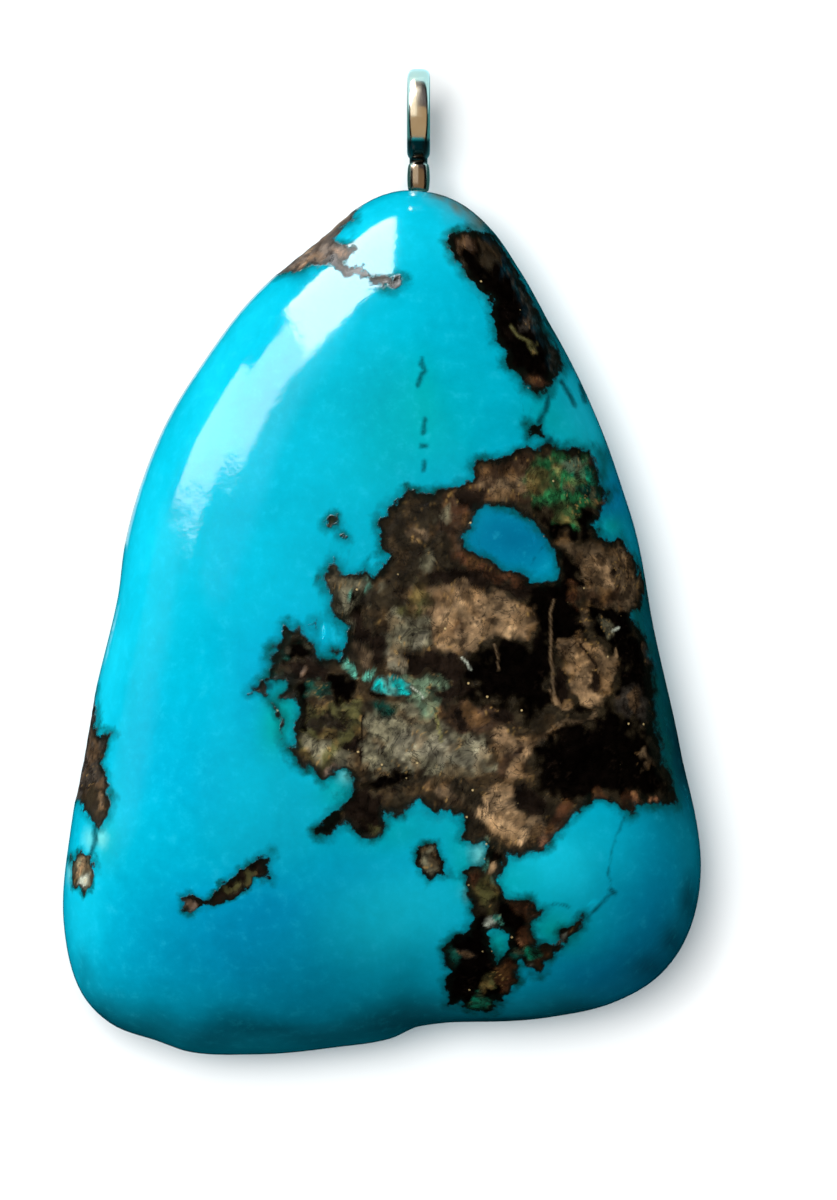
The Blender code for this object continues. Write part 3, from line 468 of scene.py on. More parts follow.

# Slow changes of the turquoise, partly its own colour and partly painted shade and painted light: tint,
# centre x and y, reach along x and y, in millimetres, and share
BODY_TINTS_AND_SHADING_MM = (
    ("deep", -5.5, -16.0, 6.0, 3.5, 0.75),
    ("deep", -5.0, -14.3, 3.0, 1.2, 0.55),
    ("deep", -4.2, -4.6, 2.0, 2.6, 0.45),
    ("deep", -1.0, -12.6, 3.0, 1.1, 0.40),
    ("deep", 5.2, 0.8, 2.5, 2.0, 1.00),
    ("deep", 9.8, 2.6, 1.2, 1.8, 0.95),
    ("deep", 11.2, -14.6, 2.2, 3.6, 0.70),
    ("deep", 9.0, -16.8, 3.5, 1.6, 0.80),
    ("green", 7.5, 6.0, 1.4, 1.2, 0.70),
    ("green", 5.5, -13.0, 1.4, 0.9, 0.65),
    ("green", 3.2, -12.3, 0.8, 1.4, 0.60),
    ("green", 7.0, -15.0, 1.0, 0.9, 0.90),
    ("green", 0.6, -11.0, 1.6, 0.8, 0.40),
    ("green", -1.9, -9.4, 0.8, 0.8, 0.60),
    ("green", 4.8, -15.7, 0.6, 0.8, 0.90),
    ("green", -4.1, -6.2, 0.7, 1.6, 0.90),
    ("green", 1.7, 6.8, 0.5, 1.6, 0.35),
    ("green", -11.6, -11.6, 0.7, 0.9, 0.50),
    ("pale", -11.55, -11.45, 0.22, 0.30, 0.60),
    ("pale", -12.1, -11.5, 0.18, 0.40, 0.45),
    ("pale", -12.95, -12.9, 0.15, 0.40, 0.45),
    ("pale", 3.45, -13.6, 0.12, 0.30, 0.60),
    ("pale", 4.0, -12.0, 0.30, 0.50, 0.60),
    ("pale", -1.45, -8.75, 0.30, 0.30, 0.50),
    # The bright tints below are painted light, save the first, which is paler turquoise: they lighten the
    # left rim, the top, the turquoise between the highlight and the left rim, the right flank by the upper
    # right patch and the lower middle
    ("bright", 7.4, -12.4, 2.0, 1.5, 0.85),
    ("bright", -9.9, 3.0, 1.2, 7.0, 0.35),
    ("bright", 0.5, 13.5, 3.5, 2.0, 0.25),
    ("bright", -5.8, 10.2, 1.6, 1.6, 0.35),
    ("bright", 8.6, 6.0, 1.1, 1.7, 1.00),
    ("bright", -7.2, 8.2, 1.4, 3.0, 0.50),
    ("bright", -12.3, -14.6, 1.0, 3.0, 0.35),
    ("bright", 0.5, -14.5, 3.0, 2.0, 0.90),
    ("green", 1.2, 5.5, 3.0, 3.0, 0.50),
    ("green", 8.4, 5.2, 0.8, 0.7, 0.35),
    ("green", 9.5, 1.4, 0.6, 0.5, 0.80),
    # Painted light too: the right flank by the upper right patch, and the left rim
    ("bright", 8.7, 6.2, 0.8, 1.3, 0.90),
    ("bright", -11.7, -3.0, 0.9, 4.0, 0.80),
    ("stain", 2.4, 15.2, 0.5, 0.22, 0.75),
    ("stain", 3.2, 14.7, 0.5, 0.30, 0.85),
    ("stain", 3.95, 14.1, 0.4, 0.45, 0.85),
    # Most shade tints below are painted shade, darkening the rims and the bottom edge where the stone turns
    # away from the lamps; the few inside the outline, by the window, the bay and the upper left patch, are
    # darker turquoise
    ("shade", 4.6, 13.7, 0.5, 0.6, 0.60),
    ("shade", 6.7, 11.0, 1.0, 2.8, 0.25),
    ("shade", 9.2, 4.5, 0.35, 0.5, 0.55),
    ("shade", 12.7, -6.4, 2.4, 4.2, 1.00),
    ("shade", 12.2, -7.4, 1.1, 2.6, 0.90),
    ("shade", 12.7, -14.0, 0.4, 1.2, 0.75),
    ("shade", 12.0, -15.6, 0.5, 0.7, 0.70),
    ("shade", 11.0, -16.7, 0.9, 0.5, 0.55),
    ("shade", 9.0, -18.6, 2.6, 0.5, 0.70),
    ("shade", 0.7, -18.8, 2.2, 0.7, 0.65),
    ("shade", -11.8, -18.6, 1.4, 1.0, 0.60),
    ("shade", 5.2, 0.7, 2.2, 1.6, 0.35),
    ("shade", -3.5, 12.0, 0.7, 0.4, 0.60),
    ("shade", -1.5, 14.05, 0.4, 0.3, 0.45),
    ("shade", -12.1, -17.0, 0.6, 0.8, 0.30),
    ("shade", 9.9, 1.8, 0.6, 0.8, 0.25),
    ("shade", 11.6, -1.6, 0.9, 2.4, 0.90),
    ("shade", 13.2, -13.0, 0.5, 3.0, 0.12),
    ("shade", -12.35, -16.6, 0.2, 1.2, 0.25),
    ("shade", 6.0, -19.2, 4.0, 0.5, 0.90),
    ("shade", -5.0, -19.4, 6.5, 0.7, 0.55),
    ("deep", -8.5, -8.5, 2.5, 3.0, 0.30),
)


def length(name, description, size_mm):
    """A size in the sidebar, given here in millimetres."""
    return bpy.props.FloatProperty(name=name, description=description, default=size_mm * MM, unit="LENGTH")


def number(name, description, value):
    """A plain number in the sidebar."""
    return bpy.props.FloatProperty(name=name, description=description, default=value)


def count(name, description, value):
    """A whole number in the sidebar."""
    return bpy.props.IntProperty(name=name, description=description, default=value)


def tint(name, description, code):
    """A colour in the sidebar, given here as an sRGB hex value."""
    return bpy.props.FloatVectorProperty(
        name=name, description=description, subtype="COLOR", default=linear(code)
    )


class NuggetForm(bpy.types.PropertyGroup):
    """Sizes of the stone."""

    front_rise: length("Front rise", "Height of the dome above the widest outline", 7.0)
    left_power: number("Left fullness", "How full the dome is on its left: 2 is an ellipse", 2.25)
    right_power: number("Right fullness", "How full the dome is on its right: 2 is an ellipse", 3.6)
    back_depth: length("Back depth", "Depth of the back before it is ground flat", 6.0)
    back_power: number("Back fullness", "How full the back is: 2 is an ellipse", 2.35)
    ground_off: length("Ground off", "How much of the back is ground away", 0.75)
    ground_edge: length("Ground edge", "Width of the tumbled edge round the flat back", 0.12)
    undercut: length("Undercut", "How far polishing sank the softer host rock", 0.045)
    face_cells: count("Face cells", "Cells across the front and the back", 84)
    side_cells: count("Side cells", "Cells up the side", 12)
    host_cuts: count("Host rock cuts", "Further cuts of each cell that holds host rock", 3)


class NuggetColours(bpy.types.PropertyGroup):
    """Colours of the turquoise; the bright one and the shade are laid mostly as painted light and painted
    shade.
    """

    body: tint("Turquoise", "The stone's own sky blue", "#00ADC8")
    deep: tint("Deep blue", "Denser, bluer turquoise", "#008ABA")
    green: tint("Blue green", "Turquoise stained with iron beside the host rock", "#00A19B")
    # Laid mostly as painted light on the lit rims and flanks, and once as paler turquoise
    bright: tint("Bright", "Clean turquoise, free of iron", "#12C8E2")
    # Laid mostly as painted shade on the rims that turn away from the lamps, and in a few spots as darker
    # turquoise
    shade: tint("Shade", "Turquoise darkened by the rock behind it", "#043E4C")
    pale: tint("Pale", "Chalky turquoise", "#8FE6DC")
    stain: tint("Stain", "Turquoise stained brown by iron", "#6E5A2A")


class EyeForm(bpy.types.PropertyGroup):
    """Sizes of the hanging eye."""

    wire: length("Wire", "Width of the eye's wire", 0.96)
    ring: length("Ring", "Outer diameter of the eye", 3.8)
    neck: length("Neck", "Radius of the neck", 0.375)
    collar: length("Collar", "Radius of the bead on the stone", 0.47)
    collar_top: length("Collar top", "Where the bead starts", 16.56)
    collar_foot: length("Collar foot", "Where the bead ends", 15.42)
    peg: length("Peg", "Radius of the peg", 0.35)
    peg_depth: length("Peg depth", "How far the peg shows in its hole", 1.0)


class StageLook(bpy.types.PropertyGroup):
    """The table and its light."""

    floor: tint("Table", "Colour of the table", "#F4F5F5")
    window: number("Window", "Light that the window sheds on the stone", 1.0)
    overhead: number("Overhead", "Light from the ceiling on the stone", 0.45)
    left: number("Left", "Low light from the left on the stone", 0.5)
    right: number("Right", "Low light from the right on the stone", 0.45)
    bounce: number("Bounce", "Light that the table sends back up at the rims of the stone", 0.5)
    upper_pane: number("Upper pane", "Brightness of the upper pane in the polish", 11.8)
    lower_pane: number("Lower pane", "Brightness of the lower panes in the polish", 4.7)
    table: number("Table light", "Light on the table alone", 1.3)
    table_glow: number("Table glow", "Brightness of the table in the polish of the left rim", 0.7)
    room: number("Room", "Light from the room all round", 0.06)
    camera_height: length("Camera height", "Height of the lens over the stone's widest outline", 350.0)
    frame_height: length("Frame height", "Length of the table seen in the picture", 50.0)


def feed(tree, node, inputs):
    """Gives each input of a node its value, its colour as a hex value, or the socket that feeds it."""
    for name, value in inputs.items():
        socket = node.inputs[name]
        if isinstance(value, bpy.types.NodeSocket):
            tree.links.new(value, socket)
        elif isinstance(value, str):
            socket.default_value = (*linear(value), 1.0)
        else:
            socket.default_value = value


def add_node(tree, kind, settings=None, inputs=None):
    """Adds a node with its settings and its inputs."""
    node = tree.nodes.new(kind)
    for name, value in (settings or {}).items():
        setattr(node, name, value)
    feed(tree, node, inputs or {})
    return node


def new_material(name):
    """A material with its node tree and its Principled shader."""
    made = bpy.data.materials.new(name)
    made.use_nodes = True
    return made, made.node_tree, made.node_tree.nodes["Principled BSDF"]


def smooth_step(low, high, values):
    """0 below a span of values, 1 above it, and a smooth rise between."""
    t = np.clip((values - low) / (high - low), 0, 1)
    return t * t * (3 - 2 * t)


def bell(points, x, y, reach_x, reach_y):
    """A smooth share of each point, 1 at the centre and dying out over this reach along x and y."""
    return np.exp(-(((points[:, 0] - x) / reach_x) ** 2 + ((points[:, 1] - y) / reach_y) ** 2))


def girdle_height(form):
    """Height of the stone's widest outline over the table, in millimetres."""
    return (form.back_depth - form.ground_off) / MM


def mesh_from(bm, name):
    """The mesh of a finished bmesh."""
    mesh = bpy.data.meshes.new(name)
    bm.to_mesh(mesh)
    bm.free()
    return mesh


class Girdle:
    """The stone's widest outline, as a radius at each angle about the centre of the dome, in millimetres."""

    def __init__(self):
        arms = np.array(GIRDLE_MM) - DOME_CENTRE_MM
        angles = np.arctan2(arms[:, 1], arms[:, 0]) % math.tau
        order = np.argsort(angles)
        angles, radii = angles[order], np.hypot(arms[:, 0], arms[:, 1])[order]
        self.angles = np.concatenate(([angles[-1] - math.tau], angles, [angles[0] + math.tau]))
        self.radii = np.concatenate((radii[-1:], radii, radii[:1]))
        inner = (self.radii[2:] - self.radii[:-2]) / (self.angles[2:] - self.angles[:-2])
        self.slopes = np.concatenate((inner[-1:], inner, inner[:1]))
        steps = np.arange(SMOOTH_SAMPLES) * math.tau / SMOOTH_SAMPLES
        samples = self.radius(steps)
        self.mean = samples.mean()
        self.waves = [
            (k, 2 * (samples * np.cos(k * steps)).mean(), 2 * (samples * np.sin(k * steps)).mean())
            for k in range(1, SMOOTH_HARMONICS + 1)
        ]

    def radius(self, angle):
        """The outline's own radius, on a smooth cubic through its points."""
        angle = angle % math.tau
        i = np.clip(np.searchsorted(self.angles, angle, side="right") - 1, 0, len(self.angles) - 2)
        span = self.angles[i + 1] - self.angles[i]
        t = (angle - self.angles[i]) / span
        lift = (1 + 2 * t) * (1 - t) ** 2 * self.radii[i] + t * t * (3 - 2 * t) * self.radii[i + 1]
        lean = t * (1 - t) ** 2 * self.slopes[i] - t * t * (1 - t) * self.slopes[i + 1]
        return lift + lean * span

    def smooth_radius(self, angle):
        """The outline with only its broad form, which the top of the dome keeps."""
        return self.mean + sum(c * np.cos(k * angle) + s * np.sin(k * angle) for k, c, s in self.waves)


GIRDLE = Girdle()
NET_FACE = 0.9999


def net_angles(net):
    """Angle about the dome's axis and tilt from it, for points of the box that the mesh starts from."""
    x, y, z = net.T
    ring = np.maximum(abs(x), abs(y))
    wide = abs(x) >= abs(y)
    quarter = math.pi / 4
    safe_x = np.where(x == 0, 1, x)
    safe_y = np.where(y == 0, 1, y)
    along_x = quarter * y / safe_x + np.where(x < 0, math.pi, 0)
    along_y = math.pi / 2 - quarter * x / safe_y + np.where(y < 0, math.pi, 0)
    angle = np.where(ring == 0, 0, np.where(wide, along_x, along_y))
    side = math.pi / 2 - z * (math.pi / 2 - FACE_EDGE_TILT)
    under = np.where(z < -NET_FACE, math.pi - FACE_EDGE_TILT * ring, side)
    return angle, np.where(z > NET_FACE, FACE_EDGE_TILT * ring, under)


def stone_points(net, form):
    """The stone's surface in millimetres, for points of the box that its mesh starts from."""
    angle, tilt = net_angles(net)
    front = tilt <= math.pi / 2
    fuller = ((1 + np.cos(angle - FULLEST_ANGLE)) / 2) ** 2
    dome_power = form.left_power + (form.right_power - form.left_power) * fuller
    power = np.where(front, dome_power, form.back_power)
    depth = np.where(front, form.front_rise, form.back_depth) / MM
    across, up = np.sin(tilt), np.cos(tilt)
    reach = (across**power + abs(up) ** power) ** (-1 / power)
    share = reach * across
    smooth = GIRDLE.smooth_radius(angle)
    radius = smooth + (GIRDLE.radius(angle) - smooth) * share**DETAIL_FADE_POWER
    x = DOME_CENTRE_MM[0] + np.cos(angle) * share * radius
    y = DOME_CENTRE_MM[1] + np.sin(angle) * share * radius
    points = np.stack((x, y, reach * up * depth), axis=1)
    points[:, 2] += swell(points) * reach * up
    points[:, 2] += girdle_height(form)
    return grind(points, form)


def swell(points):
    """How far tumbling left the surface above or below the plain dome, in millimetres."""
    rise = TUMBLED_RISE_MM * np.array([noise.noise(p / TUMBLED_WAVE_MM) for p in map(Vector, points)])
    for x, y, reach, height in SWELLS_MM:
        rise += np.where(points[:, 2] > 0, height * bell(points, x, y, reach, reach), 0)
    return rise


def grind(points, form):
    """Grinds the back flat at the table, with an edge that tumbling has softened."""
    edge = form.ground_edge / MM
    points[:, 2] = 0.5 * (points[:, 2] + np.sqrt(points[:, 2] ** 2 + edge * edge))
    return points


# Keeps the noise the same on each run, and it was chosen for the patch edges that it gives
WOBBLE_SEED = 6


def wobble(points, wave, reach):
    """Moves points about by noise of this wavelength and reach, in millimetres."""
    noise.seed_set(WOBBLE_SEED)
    return points + reach * np.array([noise.noise_vector(p / wave) for p in map(Vector, points)])


def mottle(points, wave, seed=0):
    """Cloudy noise of this wavelength in millimetres, mostly between -0.5 and 0.5."""
    away = Vector((17.3, 5.1, 9.7)) * seed
    return np.array([noise.fractal(p / wave + away, 1.0, 2.0, 3) for p in map(Vector, points)])


def line_distance(points, line, closed):
    """Distance from each point to a line through the listed points, in millimetres."""
    start = np.array(line)
    end = np.roll(start, -1, axis=0)
    best = np.full(len(points), np.inf)
    for a, b in list(zip(start, end))[: None if closed else -1]:
        arm = b - a
        share = np.clip((points - a) @ arm / (arm @ arm), 0, 1)
        best = np.minimum(best, np.linalg.norm(points - a - share[:, None] * arm, axis=1))
    return best


def within(points, outline):
    """Whether each point is inside a closed outline."""
    inside = np.zeros(len(points), bool)
    start = np.array(outline)
    for (ax, ay), (bx, by) in zip(start, np.roll(start, -1, axis=0)):
        if ay == by:
            continue
        crosses = (ay > points[:, 1]) != (by > points[:, 1])
        inside ^= crosses & (points[:, 0] < (bx - ax) * (points[:, 1] - ay) / (by - ay) + ax)
    return inside


FAR_MM = 1.5


def depth_inside(points, outline):
    """How deep each point is inside a closed outline, in millimetres: negative outside, down to -FAR_MM."""
    corners = np.array(outline)
    near = ((points > corners.min(0) - FAR_MM) & (points < corners.max(0) + FAR_MM)).all(1)
    depth = np.full(len(points), -FAR_MM)
    local = points[near]
    away = line_distance(local, outline, closed=True)
    depth[near] = np.maximum(np.where(within(local, outline), away, -away), -FAR_MM)
    return depth


def deepest(points, outlines):
    """How deep each point is inside the one of several outlines that holds it deepest, in millimetres."""
    return np.maximum.reduce([depth_inside(points, outline) for outline in outlines.values()])


# Where host rock ends more softly or more sharply: centre and reach along x and y, in millimetres, and change
EDGE_CHANGES_MM = (
    (11.7, -5.0, 1.5, 5.0, -0.75),
    (9.3, 4.0, 1.2, 1.4, -0.65),
    (7.0, 10.3, 1.3, 3.4, -0.70),
    (-3.6, -4.2, 1.8, 1.8, -0.35),
    (-1.8, -1.2, 1.2, 1.2, -0.35),
    (-6.3, -13.3, 2.0, 1.0, 0.90),
    (2.0, -12.2, 0.8, 0.8, 0.80),
    (-12.3, -12.9, 0.8, 1.0, 0.80),
)
EDGE_LIMITS = (0.2, 3.0)
SEEN_BELOW_GIRDLE_MM = 2.0


def edge_hardness(points, form):
    """How sharply host rock ends at each point: 1 as usual, and less where it dissolves in the turquoise."""
    girdle = girdle_height(form)
    seen = smooth_step(girdle - SEEN_BELOW_GIRDLE_MM, girdle, points[:, 2])
    hardness = np.ones(len(points))
    for x, y, reach_x, reach_y, change in EDGE_CHANGES_MM:
        hardness += change * seen * bell(points, x, y, reach_x, reach_y)
    return np.clip(hardness, *EDGE_LIMITS)


# How far the drawn lines are broken up: wavelength and reach of each wobble, in millimetres
CLEAN_EDGE_MM = ((0.7, 0.05), (0.25, 0.03))
RAGGED_EDGE_MM = ((0.8, 0.16), (0.3, 0.10))
TONE_EDGE_MM = ((1.1, 0.22), (0.4, 0.14), (0.16, 0.06))

# The same down the sides, where the drawn lines would streak, and how far down it takes over
SIDE_WAVE_MM = 2.2
SIDE_WOBBLE_MM = 1.1
SIDE_START_MM = 2.5


def on_plan(points, form, breaks):
    """Where each point of the stone falls on the drawn front, and how far it is below the widest outline."""
    below = np.clip(girdle_height(form) - points[:, 2], 0, None)
    plan = points
    for wave, reach in breaks:
        plan = wobble(plan, wave, reach)
    loose = wobble(points, SIDE_WAVE_MM, SIDE_WOBBLE_MM)
    share = smooth_step(0.0, SIDE_START_MM, below)[:, None]
    return (plan + (loose - plan) * share)[:, :2], below


# How fast host rock dies out down the sides, and up them from this height, in millimetres for each millimetre
FRONT_FADE = 0.55
BACK_FADE = 1.1
BACK_EDGE_MM = 1.0


def host_depth(points, form):
    """How deep each point of the stone is inside host rock, in millimetres, on the front, sides and back."""
    plan, below = on_plan(points, form, RAGGED_EDGE_MM)
    clean = on_plan(points, form, CLEAN_EDGE_MM)[0]
    front = np.minimum(deepest(plan, HOST_OUTLINES_MM), -deepest(clean, WINDOW_OUTLINES_MM))
    front -= FRONT_FADE * below
    back = deepest(plan, BACK_OUTLINES_MM) - BACK_FADE * np.clip(points[:, 2] - BACK_EDGE_MM, 0, None)
    return np.maximum(np.maximum(front, back), -FAR_MM)


def crack_depth(points, form):
    """How deep each point is inside a dark crack, in millimetres."""
    plan, below = on_plan(points, form, CLEAN_EDGE_MM)
    cracks = [width / 2 - line_distance(plan, line, closed=False) for width, line in CRACKS_MM]
    return np.maximum(np.maximum.reduce(cracks) - below, -FAR_MM)


def threads(points, wave, width, seed):
    """Thin lines that wander through the host rock and fade in and out."""
    thread = 1 - smooth_step(0.2 * width, width, abs(mottle(points, wave, seed)))
    return thread * smooth_step(0.0, 0.3, mottle(points, 2.2 * wave, seed + 1))


def lay_over(painted, pot, cover):
    """Lays one mineral over what is painted, as far as it covers."""
    painted += cover[:, None] * (pot - painted)


# How the host rock's tones break into each other, as wavelengths in millimetres
TONE_WAVES_MM = (0.9, 0.6, 0.45, 0.7)
TONE_SPREAD = 1.1

# How light a tone is before bronze, soot and gilt show on it
LIT_TONES = (0.008, 0.03)
HAIRLINE_BLUR_MM = 0.04


def paint_host(points, form):
    """Colour, and in its fourth channel roughness, of the host rock at each point."""
    pots = {name: np.array((*linear(code), roughness)) for name, (code, roughness) in MINERALS.items()}
    plan = on_plan(points, form, TONE_EDGE_MM)[0]
    clouds = [mottle(points, wave, seed) for seed, wave in enumerate(TONE_WAVES_MM)]
    painted = np.tile(pots["umber"], (len(points), 1))
    for i, (name, blur, outline) in enumerate(HOST_ZONES_MM):
        depth = depth_inside(plan, outline) + TONE_SPREAD * blur * clouds[i % len(clouds)]
        lay_over(painted, pots[name], smooth_step(-blur / 2, blur / 2, depth))
    lit = smooth_step(*LIT_TONES, painted[:, :3].mean(1))
    lay_over(painted, pots["bronze"], 0.35 * lit * smooth_step(0.05, 0.35, mottle(points, 0.8, 23)))
    painted[:, :3] *= np.exp(0.8 * mottle(points, 0.9, 11) + 0.6 * mottle(points, 0.3, 12))[:, None]
    lay_over(painted, pots["soot"], 0.6 * lit * smooth_step(0.10, 0.32, mottle(points, 0.5, 21)))
    lay_over(painted, pots["soot"], 0.75 * threads(points, 0.75, 0.06, 13))
    drawn = on_plan(points, form, CLEAN_EDGE_MM)[0]
    for name, width, line in HAIRLINES_MM:
        depth = width / 2 - line_distance(drawn, line, closed=False)
        lay_over(painted, pots[name], smooth_step(-HAIRLINE_BLUR_MM, HAIRLINE_BLUR_MM, depth))
    lay_over(painted, pots["gilt"], 0.6 * lit * threads(points, 0.6, 0.035, 15))
    return painted


# How far noise moves the wider tints, how wide they are, and how far down the sides they fade, in millimetres
TINT_WAVE_MM = 3.0
TINT_DRIFT_MM = 0.9
WIDER_TINTS_MM = (0.2, 1.6)
TINT_FADE_MM = 3.0
TINT_LEFT_BELOW = 0.3


def paint_body_and_shading(points, colours, form):
    """Colour of the turquoise at each point, with painted shade along its rims and bottom and painted light
    on its lit flanks.
    """
    painted = np.tile(np.array((*colours.body, 1.0)), (len(points), 1))
    drifted = wobble(points, TINT_WAVE_MM, TINT_DRIFT_MM)
    below = girdle_height(form) - points[:, 2]
    seen = 1 - (1 - TINT_LEFT_BELOW) * smooth_step(0.0, TINT_FADE_MM, below)
    for name, x, y, reach_x, reach_y, share in BODY_TINTS_AND_SHADING_MM:
        loose = smooth_step(*WIDER_TINTS_MM, math.sqrt(reach_x * reach_y))
        moved = points + loose * (drifted - points)
        pot = np.array((*getattr(colours, name), 1.0))
        lay_over(painted, pot, share * seen * bell(moved, x, y, reach_x, reach_y))
    return painted


def box_net(form):
    """A box divided into cells, its front, back and sides each with their own count."""
    bm = bmesh.new()
    bmesh.ops.create_cube(bm, size=2)
    for axis, cells in ((2, form.side_cells), (0, form.face_cells), (1, form.face_cells)):
        along = [e for e in bm.edges if abs(e.verts[0].co[axis] - e.verts[1].co[axis]) > 1]
        bmesh.ops.subdivide_edges(bm, edges=along, cuts=cells - 1, use_grid_fill=True)
    return bm


# How close to host rock, a crack or the hole's axis a cell has to be to be cut finer, in millimetres
FINE_MARGIN_MM = 0.25
CRACK_MARGIN_MM = 0.20
MOUTH_MARGIN_MM = 1.3
SEEN_HEIGHT_MM = 4.0


def cut_finer(bm, form):
    """Divides again the cells that hold host rock, cracks or the hole's mouth."""
    faces = list(bm.faces)
    centres = stone_points(np.array([f.calc_center_median() for f in faces]), form)
    wanted = host_depth(centres, form) > -FINE_MARGIN_MM
    wanted |= crack_depth(centres, form) > -CRACK_MARGIN_MM
    wanted |= hole_distance(centres, form) < MOUTH_MARGIN_MM
    seen = centres[:, 2] > SEEN_HEIGHT_MM
    for chosen, cuts in ((wanted & seen, form.host_cuts), (wanted & ~seen, 1)):
        fine = [f for f, is_fine in zip(faces, chosen) if is_fine]
        edges = list({e for f in fine for e in f.edges})
        bmesh.ops.subdivide_edges(bm, edges=edges, cuts=cuts, use_grid_fill=True)
        faces = [f if f.is_valid else None for f in faces]
    bmesh.ops.triangulate(bm, faces=[f for f in bm.faces if len(f.verts) > 4])


# The drilled hole, of which the scene shows the mouth alone
HOLE_RADIUS_MM = 0.66
HOLE_EDGE_MM = 0.06
HOLE_DEPTH_MM = 1.1
HOLE_END_Y_MM = 10
NOWHERE_NEAR_MM = 99.0


def hole_distance(points, form):
    """Distance of each point from the axis of the drilled hole, in millimetres, and far at the broad end."""
    away = np.hypot(points[:, 0] - EYE_X / MM, points[:, 2] - girdle_height(form))
    return np.where(points[:, 1] > HOLE_END_Y_MM, away, NOWHERE_NEAR_MM)


# How much the sunk rock varies, the size of its grains and what roughness starts and ends it
RELIEF_GRAIN = 0.75
RELIEF_GRAIN_MM = 0.45
SMOOTHEST = 0.10
ROUGHNESS_SPAN = 0.3


def relief(points, host, painted, form):
    """How far the surface sinks where polishing wore the host rock, in millimetres."""
    covered = smooth_step(-0.05, 0.25, host)
    rough = np.clip((painted[:, 3] - SMOOTHEST) / ROUGHNESS_SPAN, 0, 1)
    grainy = 1 + RELIEF_GRAIN * rough * mottle(points, RELIEF_GRAIN_MM)
    return -covered * (form.undercut / MM) * grainy


def set_layer(mesh, name, kind, values):
    """Stores one value or colour for each point of a mesh."""
    layer = mesh.attributes.new(name, kind, "POINT")
    field = "color" if kind == "FLOAT_COLOR" else "value"
    layer.data.foreach_set(field, np.ascontiguousarray(values).ravel())


PAINTED_TO_MM = 0.5


def stone_mesh(form, colours):
    """The polished stone: its form, its sunk host rock, the hole's mouth, and what its material reads."""
    bm = box_net(form)
    cut_finer(bm, form)
    mesh = mesh_from(bm, "polished_nugget")
    net = np.empty(len(mesh.vertices) * 3)
    mesh.vertices.foreach_get("co", net)
    points = stone_points(net.reshape(-1, 3), form)
    host = host_depth(points, form)
    rock = host > -PAINTED_TO_MM
    painted = np.tile(np.array((*linear(MINERALS["umber"][0]), 0.3)), (len(points), 1))
    painted[rock] = paint_host(points[rock], form)
    mesh.vertices.foreach_set("co", (points * MM).ravel())
    mesh.update()
    normals = np.array([v.vector for v in mesh.vertex_normals])
    final = points + relief(points, host, painted, form)[:, None] * normals
    inner, outer = HOLE_RADIUS_MM - HOLE_EDGE_MM, HOLE_RADIUS_MM + HOLE_EDGE_MM
    final[:, 1] -= HOLE_DEPTH_MM * (1 - smooth_step(inner, outer, hole_distance(points, form)))
    mesh.vertices.foreach_set("co", (final * MM).ravel())
    mesh.update()
    set_layer(mesh, "host_depth", "FLOAT", host)
    set_layer(mesh, "edge_hardness", "FLOAT", edge_hardness(points, form))
    set_layer(mesh, "crack_depth", "FLOAT", crack_depth(points, form))
    set_layer(mesh, "host_colour", "FLOAT_COLOR", painted)
    # The turquoise's colour, with painted shade on its rims and painted light on its lit flanks
    set_layer(mesh, "body_colour_and_painted_shading", "FLOAT_COLOR", paint_body_and_shading(points, colours, form))
    mesh.shade_smooth()
    return mesh


# Settings that several nodes share
SMOOTH = {"interpolation_type": "SMOOTHSTEP"}
UNCLAMPED = {"clamp": False}
OF_COLOURS = {"data_type": "RGBA"}
TIMES = {"operation": "MULTIPLY"}
TIMES_PLUS = {"operation": "MULTIPLY_ADD"}
SCALE = {"operation": "SCALE"}

# Noises in the stone: size of the largest grains in millimetres, detail, roughness and distortion
STONE_NOISES_MM = {
    "ragged": (0.34, 4.0, 0.60, 0.0),
    "cloud": (3.0, 4.0, 0.55, 0.6),
    "speck": (0.55, 4.0, 0.70, 0.0),
    "soak": (1.1, 2.0, 0.50, 0.0),
    "grain": (0.30, 5.0, 0.68, 0.0),
    "wander": (1.0, 4.0, 0.60, 0.8),
    "ripple": (0.8, 4.0, 0.60, 0.0),
}
STORED = ("host_depth", "edge_hardness", "crack_depth", "host_colour", "body_colour_and_painted_shading")

# What changes at the edge of the host rock: depths in millimetres where it starts and ends, and shares
EDGE_BANDS_MM = {
    "rock": (-0.055, 0.065, 0.0, 1.0),
    "iron": (-0.42, -0.02, 0.0, 1.0),
    "skin": (0.04, 0.36, 0.94, 0.0),
}
RAGGED_REACH_MM = 0.27
CRYSTAL_MM = 0.38
PYRITE_CELL_MM = 0.55
PYRITE_CHANCE = 0.20
STONE_BUMP_MM = 0.011
STONE_POLISH = 0.09
STONE_IOR = 1.61


def host_bands(tree, ragged, stored):
    """The shares of rock, iron and skin, and the shift that breaks their edges at 0.3 mm and at 0.1 mm."""
    reach = {"To Min": -RAGGED_REACH_MM, "To Max": RAGGED_REACH_MM}
    shift = add_node(tree, "ShaderNodeMapRange", UNCLAMPED, {"Value": ragged, **reach}).outputs[0]
    drawn = {0: stored["host_depth"]["Fac"], 1: shift}
    broken = add_node(tree, "ShaderNodeMath", {"operation": "ADD"}, drawn).outputs[0]
    hardened = {0: broken, 1: stored["edge_hardness"]["Fac"]}
    edge = add_node(tree, "ShaderNodeMath", TIMES, hardened).outputs[0]
    bands = {}
    for name, (start, end, low, high) in EDGE_BANDS_MM.items():
        inputs = {"Value": edge, "From Min": start, "From Max": end, "To Min": low, "To Max": high}
        bands[name] = add_node(tree, "ShaderNodeMapRange", SMOOTH, inputs).outputs[0]
    return bands, shift


